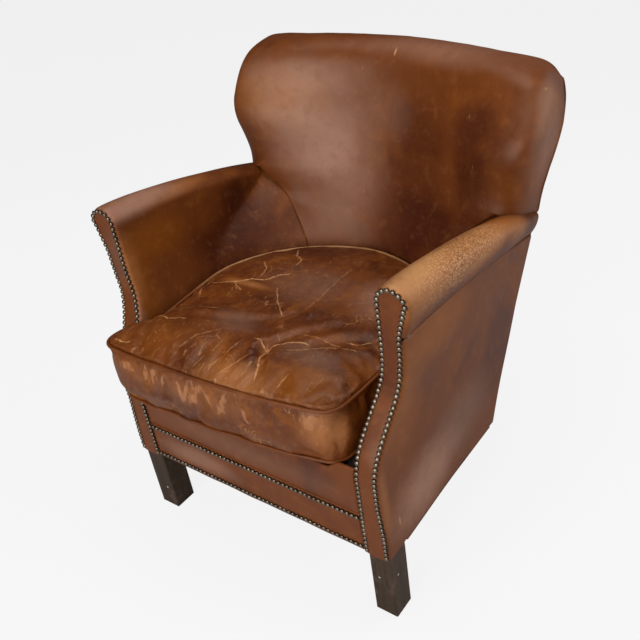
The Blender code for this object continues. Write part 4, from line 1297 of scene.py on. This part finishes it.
def smooth_front():
    """The cushion's front as an even curve through its corner points."""
    points = np.array(CUSHION_FRONT)
    ends = np.vstack((2 * points[0] - points[1], points, 2 * points[-1] - points[-2]))
    found = []
    for k in range(1, len(ends) - 2):
        a, b, c, d = ends[k - 1:k + 3]
        for t in np.linspace(0.0, 1.0, 9)[:-1]:
            found.append(0.5 * (2 * b + (c - a) * t + (2 * a - 5 * b + 4 * c - d) * t ** 2
                                + (3 * b - a - 3 * c + d) * t ** 3))
    return np.array(found + [points[-1]])


def cushion_plan(z, inset):
    """Clockwise plan of the cushion at a height, drawn in evenly by the inset."""
    side, middle, forward = (float(v) - CUSHION_ROOM for v in seat_barrel(np.array(min(z, CUSHION_EDGE))))
    x, depth = barrel_point(side, middle, forward, np.linspace(0.0, math.pi / 2, 60))
    rear = np.stack((x, depth), axis=1)
    left = (rear[1:] * (-1.0, 1.0))[::-1]
    front = smooth_front()
    overhang = 0.032 * smooth((z - 0.316) / 0.030) * smooth((facing_depth(z) + 0.006 - front[:, 1]) / 0.032)
    front[:, 0] -= overhang * smooth((-0.190 - front[:, 0]) / 0.035)
    plan = np.concatenate((rear, front, left))
    shrink = 1.0 - inset / 0.240
    return np.stack((plan[:, 0] * shrink, 0.200 + (plan[:, 1] - 0.200) * shrink), axis=1)


def cushion_loop(z):
    """The cushion's plan at a height, with its first point again at its end."""
    plan = cushion_plan(z, 0.0)
    return np.vstack((plan, plan[:1]))


def from_seams(points):
    """How far each point is from the cushion's nearer seam, in height and in plan."""
    x, depth, z = points.T
    height = np.minimum(np.abs(z - UPPER_SEAM_Z), np.abs(z - LOWER_SEAM_Z))
    return height, np.abs(line_offset(x, depth, cushion_loop(UPPER_SEAM_Z)[::3]))


def outset(plan, distance):
    """A clockwise plan moved outwards by a distance."""
    along = np.roll(plan, -1, axis=0) - np.roll(plan, 1, axis=0)
    along /= np.linalg.norm(along, axis=1, keepdims=True)
    return plan + np.stack((-along[:, 1], along[:, 0]), axis=1) * distance


def stuffed_block(finish):
    """The cushion's plain starting form, closed and crowned, remeshed evenly."""
    rise = CUSHION_CROWN - CUSHION_EDGE
    # Each as (height, how far the plan is drawn in there).
    levels = ((CUSHION_BOTTOM, 0.016), (CUSHION_BOTTOM + 0.002, 0.006), (LOWER_SEAM_Z, 0.0015),
              (0.350, 0.0015), (0.382, 0.0015), (0.412, 0.0015), (UPPER_SEAM_Z, 0.0015),
              (CUSHION_EDGE, 0.006), (CUSHION_EDGE + rise * 0.25, 0.020), (CUSHION_EDGE + rise * 0.5, 0.042),
              (CUSHION_EDGE + rise * 0.7, 0.070), (CUSHION_EDGE + rise * 0.86, 0.105),
              (CUSHION_CROWN - 0.002, 0.150))
    plans = []
    for z, inset in levels:
        plan = cushion_plan(z, inset)
        plans.append(stack(plan[:, 0], plan[:, 1], z))
    piece = loft_plan("seat_cushion_cover", plans, finish)
    remesh = piece.modifiers.new("even_mesh", "REMESH")
    remesh.mode = "VOXEL"
    remesh.voxel_size = 0.0058
    apply_modifiers(piece)
    return piece


def apply_modifiers(piece):
    """Bake a piece's modifiers into its mesh."""
    graph = bpy.context.evaluated_depsgraph_get()
    mesh = bpy.data.meshes.new_from_object(piece.evaluated_get(graph))
    piece.modifiers.clear()
    piece.data = mesh


def mesh_points(piece):
    found = np.empty(len(piece.data.vertices) * 3)
    piece.data.vertices.foreach_get("co", found)
    return found.reshape(-1, 3) - (0.0, FRONT_Y, 0.0)


def set_points(piece, points):
    piece.data.vertices.foreach_set("co", (points + (0.0, FRONT_Y, 0.0)).ravel())
    piece.data.update()


SWELL_FRAMES = 20


def swell(piece, pinned, most):
    """Blow the piece up as stuffed leather between its seams, no further than most."""
    before = mesh_points(piece)
    group = piece.vertex_groups.new(name="seams")
    for index in np.flatnonzero(pinned):
        group.add([int(index)], 1.0, "REPLACE")
    cloth = piece.modifiers.new("stuffing", "CLOTH")
    settings = cloth.settings
    settings.vertex_group_mass = "seams"
    settings.use_pressure = True
    settings.uniform_pressure_force = 4.0
    settings.effector_weights.gravity = 0.0
    settings.tension_stiffness = 25.0
    settings.compression_stiffness = 25.0
    settings.shear_stiffness = 12.0
    settings.bending_stiffness = 3.0
    settings.shrink_min = -0.035
    settings.quality = 6
    cloth.collision_settings.use_collision = False
    scene = bpy.context.scene
    for number in range(1, SWELL_FRAMES + 1):
        scene.frame_set(number)
    apply_modifiers(piece)
    scene.frame_set(1)
    moved = mesh_points(piece) - before
    length = np.linalg.norm(moved, axis=1, keepdims=True)
    limit = most * np.tanh(length / most)
    set_points(piece, before + moved * limit / np.maximum(length, 1e-9))


def boxing_crease(x, z, place, high, tall, wide, lean):
    """A leaning ridge on the cushion's front, and the trough beside it."""
    across = (x - place - lean * (high - z)) / wide
    along = (z - high) / tall
    return np.exp(-across ** 2 - along ** 4), np.exp(-(across - 1.5) ** 2 - along ** 4)


def top_folds(points, top, wander):
    """How far the long folds, the pucker and the stuffing move each point of the top."""
    x, depth, _ = points.T
    move = np.zeros(len(points))
    for route, width, deep in LONG_FOLDS:
        away = np.abs(np.abs(line_offset(x, depth, route)) + wander)
        lips = 0.55 * np.exp(-((away - 1.9 * width) / width) ** 2)
        move += top * deep * (-np.exp(-(away / width) ** 2) + lips)
    away = np.hypot(x - PUCKER[0], depth - PUCKER[1])
    move -= top * 0.0050 * np.exp(-(away / 0.012) ** 2)
    angle = np.arctan2(depth - PUCKER[1], x - PUCKER[0])
    rays = np.sin(9.0 * angle + 3.0 * wander / STRAY)
    move += top * 0.0011 * rays * np.exp(-((away - 0.035) / 0.028) ** 2)
    move += top * 0.0016 * field(points, 14.0, 1.0) + top * 0.0009 * field(points, 38.0, 6.0)
    return move


def front_creases(points, chance):
    """Creases down the cushion's front: how far they move each point, and how rubbed it is."""
    x, depth, z = points.T
    boxing = smooth((UPPER_SEAM_Z - 0.002 - z) / 0.010) * smooth((z - LOWER_SEAM_Z - 0.002) / 0.010)
    front = smooth((0.120 - depth) / 0.060)
    move, rubbed = np.zeros(len(points)), np.zeros(len(points))
    for _ in range(46):
        place = chance.uniform(-0.215, 0.215)
        high = chance.uniform(0.372, 0.432)
        lean = chance.uniform(-0.55, 0.20)
        tall, wide = chance.uniform(0.014, 0.034), chance.uniform(0.0045, 0.0090)
        middling = 1.0 - 0.55 * min(abs(place + 0.010) / 0.20, 1.0)
        size = chance.uniform(0.0006, 0.0026) * middling
        shape, trough = boxing_crease(x, z, place, high, tall, wide, lean)
        move += boxing * front * size * (shape - 0.8 * trough)
    for place, high, tall, wide, lean in RUBS:
        shape, trough = boxing_crease(x, z, place, high, tall, wide, lean)
        move += boxing * front * 0.0016 * (shape - 0.8 * trough)
        rubbed += shape * boxing * front
    return move, rubbed


def front_gathers(points, top, chance):
    """Gathers that run back over the top from the front seam: their move and their rub."""
    x, depth, _ = points.T
    edge_x, edge_depth = zip(*FRONT_EDGE)
    move, rubbed = np.zeros(len(points)), np.zeros(len(points))
    for _ in range(34):
        place = chance.uniform(-0.220, 0.200)
        reach = chance.uniform(0.020, 0.060)
        wide = chance.uniform(0.004, 0.008)
        lean = chance.uniform(-0.5, 0.8)
        seam = np.interp(place, edge_x, edge_depth)
        across = (x - place - lean * (depth - seam)) / wide
        shape = np.exp(-across ** 2) * smooth((reach - (depth - seam)) / reach) * (depth > seam - 0.01)
        move += top * 0.0010 * shape
        rubbed += top * shape * 0.22
    return move, rubbed


def nearest_crack(points, wander):
    """Each point's offset from its nearest crack, and how cracked it is."""
    x, depth, z = points.T
    crack, strength = np.full(len(points), 0.05), np.zeros(len(points))
    bend = field(points, 60.0, 9.0) * 0.0020
    for strong, route in CRACKS:
        offset = line_offset(x + bend, depth + wander * 0.6, route)
        nearer = np.abs(offset) < np.abs(crack)
        crack, strength = np.where(nearer, offset, crack), np.where(nearer, strong, strength)
    return crack, strength * smooth((0.0085 - np.abs(crack)) / 0.0040) * (z > CUSHION_EDGE - 0.002)


def sculpt_cushion(piece):
    """Press the folds, creases and gathers into the cushion, and mark its cracks and rubs."""
    points = mesh_points(piece)
    normal = np.empty(len(points) * 3)
    piece.data.vertices.foreach_get("normal", normal)
    top = smooth((points[:, 2] - CUSHION_EDGE + 0.004) / 0.006)
    wander = field(points, 22.0, 4.0) * STRAY
    chance = random.Random(5)
    creased, front_rubs = front_creases(points, chance)
    gathered, top_rubs = front_gathers(points, top, chance)
    height, across = from_seams(points)
    sunk = 0.0022 * np.exp(-(height / 0.0035) ** 2) * np.exp(-(across / 0.012) ** 2)
    move = top_folds(points, top, wander) + creased + gathered - sunk
    set_points(piece, points + normal.reshape(-1, 3) * move[:, None])
    crack, cracked = nearest_crack(points, wander)
    rubbed = np.clip(front_rubs + top_rubs, 0.0, 1.0)
    store(piece.data, {"crack": crack, "cracked": cracked, "rubbed": rubbed})


def make_cushion():
    """The loose seat cushion: a stuffed block, blown up, made finer and then creased."""
    piece = stuffed_block(seat_leather(CUSHION_PLACES))
    points = mesh_points(piece)
    height, across = from_seams(points)
    held = (height < 0.0042) & (across < 0.016) | (points[:, 2] < CUSHION_BOTTOM + 0.004)
    swell(piece, held, 0.0075)
    divide = piece.modifiers.new("finer", "SUBSURF")
    divide.levels = 1
    apply_modifiers(piece)
    sculpt_cushion(piece)
    piece.data.shade_smooth()
    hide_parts("seat_cushion")
    return piece


def make_piping(cushion, finish):
    """The cushion's two cords, each laid on the leather beside its seam."""
    radius = bpy.context.scene.chair_sizes.piping
    for name, node, z in (("seat_piping_lower", "cushion_piping_bottom", LOWER_SEAM_Z),
                          ("seat_piping_upper", "cushion_piping_top", UPPER_SEAM_Z)):
        loop = cushion_loop(z)
        path = evenly(stack(loop[:, 0], loop[:, 1], z), 0.004)[:-1]
        for index, point in enumerate(path):
            _, place, _, _ = cushion.closest_point_on_mesh(point + (0.0, FRONT_Y, 0.0))
            path[index] = np.array(place) - (0.0, FRONT_Y, 0.0)
        for _ in range(6):
            path = 0.25 * np.roll(path, 1, axis=0) + 0.5 * path + 0.25 * np.roll(path, -1, axis=0)
        path[:, :2] = outset(path[:, :2], radius * 0.7)
        lifted = 0.0055 * smooth((path[:, 1] - 0.04) / 0.10) * (z == UPPER_SEAM_Z)
        path[:, 2] = z + 0.5 * (path[:, 2] - z) + 0.0006 * field(path, 30.0, 8.0) + lifted
        piece = add_tube(name, path, radius, finish, closed=True, sides=12)
        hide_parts(node)


# ---- Construction nodes that are kept as they are --------------------------------------
def finish_frame():
    """Give every node of the construction model that stays a worked finish."""
    timber = frame_timber()
    webbing = woven("jute_webbing", srgb(96, 76, 46), srgb(168, 142, 98), 0.0030)
    stain = leg_stain()
    for name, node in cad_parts.items():
        if node.hide_render:
            continue
        made = stain if name.startswith("leg_") else webbing if "strap" in name else timber
        node.material_slots[0].material = made


# ---- Stage ----------------------------------------------------------------------------
CAMERA_PLACE = Vector((0.8494, -0.9969, 1.2274))
CAMERA_AZIMUTH = 34.87
CAMERA_ELEVATION = 32.39
CAMERA_ROLL = 5.13
CAMERA_LENS = 45.13
CAMERA_SHIFT = (-0.130, -0.0373)
# Lamps as (name, place, width, power), all aimed at the middle of the chair.
LAMPS = (
    ("front", (0.0, -2.44, 1.34), 1.6, 45.0),
    ("side", (2.12, 1.22, 1.34), 2.6, 41.0),
    ("ceiling", (0.0, 0.1, 3.0), 1.6, 33.0),
    ("room", (1.40, -2.00, 1.34), 1.6, 9.0),
)
LAMP_AIM = (0.0, 0.05, 0.45)
FLOOR_HALF = 12.0
FLOOR_GLOW = 0.86         # share of what the camera sees of the floor that is plain white


def make_camera():
    """The camera, turned by its azimuth, elevation and roll, with its lens shifted."""
    azimuth, elevation, roll = (math.radians(v) for v in (CAMERA_AZIMUTH, CAMERA_ELEVATION, CAMERA_ROLL))
    away = Vector((-math.sin(azimuth) * math.cos(elevation), math.cos(azimuth) * math.cos(elevation),
                   -math.sin(elevation)))
    level = Vector((math.cos(azimuth), math.sin(azimuth), 0.0))
    down = away.cross(level)
    right = math.cos(roll) * level + math.sin(roll) * down
    lower = -math.sin(roll) * level + math.cos(roll) * down
    turn = Matrix((right, -lower, -away)).transposed().to_4x4()
    data = bpy.data.cameras.new("camera")
    data.sensor_width = 36.0
    data.lens = CAMERA_LENS
    data.shift_x, data.shift_y = CAMERA_SHIFT
    camera = bpy.data.objects.new("camera", data)
    camera.matrix_world = Matrix.Translation(CAMERA_PLACE) @ turn
    bpy.context.scene.collection.objects.link(camera)
    bpy.context.scene.camera = camera


def make_lamp(name, place, width, power):
    """A square lamp aimed at the chair."""
    data = bpy.data.lights.new(name, "AREA")
    data.shape = "RECTANGLE"
    data.size = width
    data.size_y = width
    data.energy = power
    lamp = bpy.data.objects.new(name, data)
    lamp.location = place
    lamp.rotation_euler = (Vector(LAMP_AIM) - Vector(place)).to_track_quat("-Z", "Y").to_euler()
    bpy.context.scene.collection.objects.link(lamp)


def make_floor():
    """A pale floor that takes the chair's shadow and looks nearly white to the camera."""
    corners = [(x * FLOOR_HALF, y * FLOOR_HALF, 0.0) for x, y in ((-1, -1), (1, -1), (1, 1), (-1, 1))]
    mesh = bpy.data.meshes.new("floor")
    mesh.from_pydata(corners, [], [(0, 1, 2, 3)])
    floor = bpy.data.objects.new("floor", mesh)
    bpy.context.scene.collection.objects.link(floor)
    f = Finish("pale_floor")
    f.set("Base Color", f.blend(srgb(190, 190, 190), srgb(198, 198, 198), f.noise(3.0)))
    f.set("Roughness", 0.9)
    f.set("Specular IOR Level", 0.1)
    rays = f.node("ShaderNodeLightPath", {}, {}, "Is Camera Ray")
    glow = f.node("ShaderNodeEmission", {}, {"Color": (1.0, 1.0, 1.0, 1.0), "Strength": 1.0})
    lit = Signal(f, f.shader.outputs[0])
    join = f.node("ShaderNodeMixShader", {}, {0: rays * FLOOR_GLOW, 1: lit, 2: glow})
    f.show("Material Output", join)
    mesh.materials.append(f.made)


def make_world():
    """A faint light from all round, with an even pale ground behind the chair."""
    world = bpy.data.worlds.new("studio")
    w = Nodes(world)
    rays = w.node("ShaderNodeLightPath", {}, {}, "Is Camera Ray")
    faint = w.node("ShaderNodeBackground", {}, {"Color": (0.92, 0.95, 1.0, 1.0), "Strength": 0.05})
    seen = w.node("ShaderNodeBackground", {}, {"Color": (0.94, 0.94, 0.94, 1.0), "Strength": 1.0})
    w.show("World Output", w.node("ShaderNodeMixShader", {}, {0: rays, 1: faint, 2: seen}))
    bpy.context.scene.world = world


def make_stage():
    make_camera()
    make_floor()
    make_world()
    for lamp in LAMPS:
        make_lamp(*lamp)
    bpy.context.scene.view_settings.view_transform = "Standard"


# ---- Operators ------------------------------------------------------------------------
class CHAIR_OT_stage(bpy.types.Operator):
    """Set up the camera, the lamps and the floor"""
    bl_idname = "club_chair.stage"
    bl_label = "Stage"

    def execute(self, context):
        make_stage()
        return {"FINISHED"}


class CHAIR_OT_back(bpy.types.Operator):
    """Make the inside and outside back, and the stitches between them"""
    bl_idname = "club_chair.back"
    bl_label = "Back"

    def execute(self, context):
        make_inside_back()
        make_outside_back()
        make_back_stitches()
        return {"FINISHED"}


class CHAIR_OT_arms(bpy.types.Operator):
    """Make the arms' inside and outside covers and their facings"""
    bl_idname = "club_chair.arms"
    bl_label = "Arms"

    def execute(self, context):
        outside = leather("outside_leather", OUTSIDE_PLACES, 0.44, 0.8)
        facing = facing_leather()
        insides = {-1: arm_leather("left_arm_leather", LEFT_ARM_PLACES, False),
                   1: arm_leather("right_arm_leather", RIGHT_ARM_PLACES, True)}
        for side, word in SIDES:
            make_inside_arm(side, word, insides[side])
            make_outside_arm(side, word, outside)
            make_facing(side, word, facing)
        return {"FINISHED"}


class CHAIR_OT_base(bpy.types.Operator):
    """Make the border, the deck, the dust cover and the hem's welts"""
    bl_idname = "club_chair.base"
    bl_label = "Border and Underside"

    def execute(self, context):
        make_border(facing_leather())
        make_deck()
        make_dust_cover()
        make_hem_welts(leather("welt_leather", (), 0.60, 0.5))
        return {"FINISHED"}


class CHAIR_OT_nails(bpy.types.Operator):
    """Make the rows of nailheads on the arms and the border"""
    bl_idname = "club_chair.nails"
    bl_label = "Nails"

    def execute(self, context):
        make_nails()
        return {"FINISHED"}


class CHAIR_OT_cushion(bpy.types.Operator):
    """Make the loose seat cushion and its piping"""
    bl_idname = "club_chair.cushion"
    bl_label = "Cushion"

    def execute(self, context):
        make_piping(make_cushion(), leather("piping_finish", PIPING_HIGHLIGHT_PLACES, 0.42, 0.6, 0.34, 0.5))
        return {"FINISHED"}


class CHAIR_OT_frame(bpy.types.Operator):
    """Finish the legs, the timber frame and the webbing"""
    bl_idname = "club_chair.frame"
    bl_label = "Legs and Frame"

    def execute(self, context):
        finish_frame()
        return {"FINISHED"}


OPERATORS = (CHAIR_OT_stage, CHAIR_OT_back, CHAIR_OT_arms, CHAIR_OT_base, CHAIR_OT_nails,
             CHAIR_OT_cushion, CHAIR_OT_frame)


class CHAIR_PT_panel(bpy.types.Panel):
    """Lists the chair's sizes, colours and makers"""
    bl_label = "Club Chair"
    bl_idname = "CHAIR_PT_panel"
    bl_space_type = "VIEW_3D"
    bl_region_type = "UI"
    bl_category = "Club Chair"

    def draw(self, context):
        for group in (context.scene.chair_sizes, context.scene.chair_colours):
            box = self.layout.box()
            for name in group.__annotations__:
                box.prop(group, name)
        for operator in OPERATORS:
            self.layout.operator(operator.bl_idname)


CLASSES = (ChairColours, ChairSizes) + OPERATORS + (CHAIR_PT_panel,)


def register():
    for made in CLASSES:
        bpy.utils.register_class(made)
    bpy.types.Scene.chair_colours = bpy.props.PointerProperty(type=ChairColours)
    bpy.types.Scene.chair_sizes = bpy.props.PointerProperty(type=ChairSizes)


def unregister():
    del bpy.types.Scene.chair_sizes
    del bpy.types.Scene.chair_colours
    for made in reversed(CLASSES):
        bpy.utils.unregister_class(made)


def main():
    register()
    for operator in OPERATORS:
        group, name = operator.bl_idname.split(".")
        getattr(getattr(bpy.ops, group), name)()


if __name__ == "__main__":
    main()
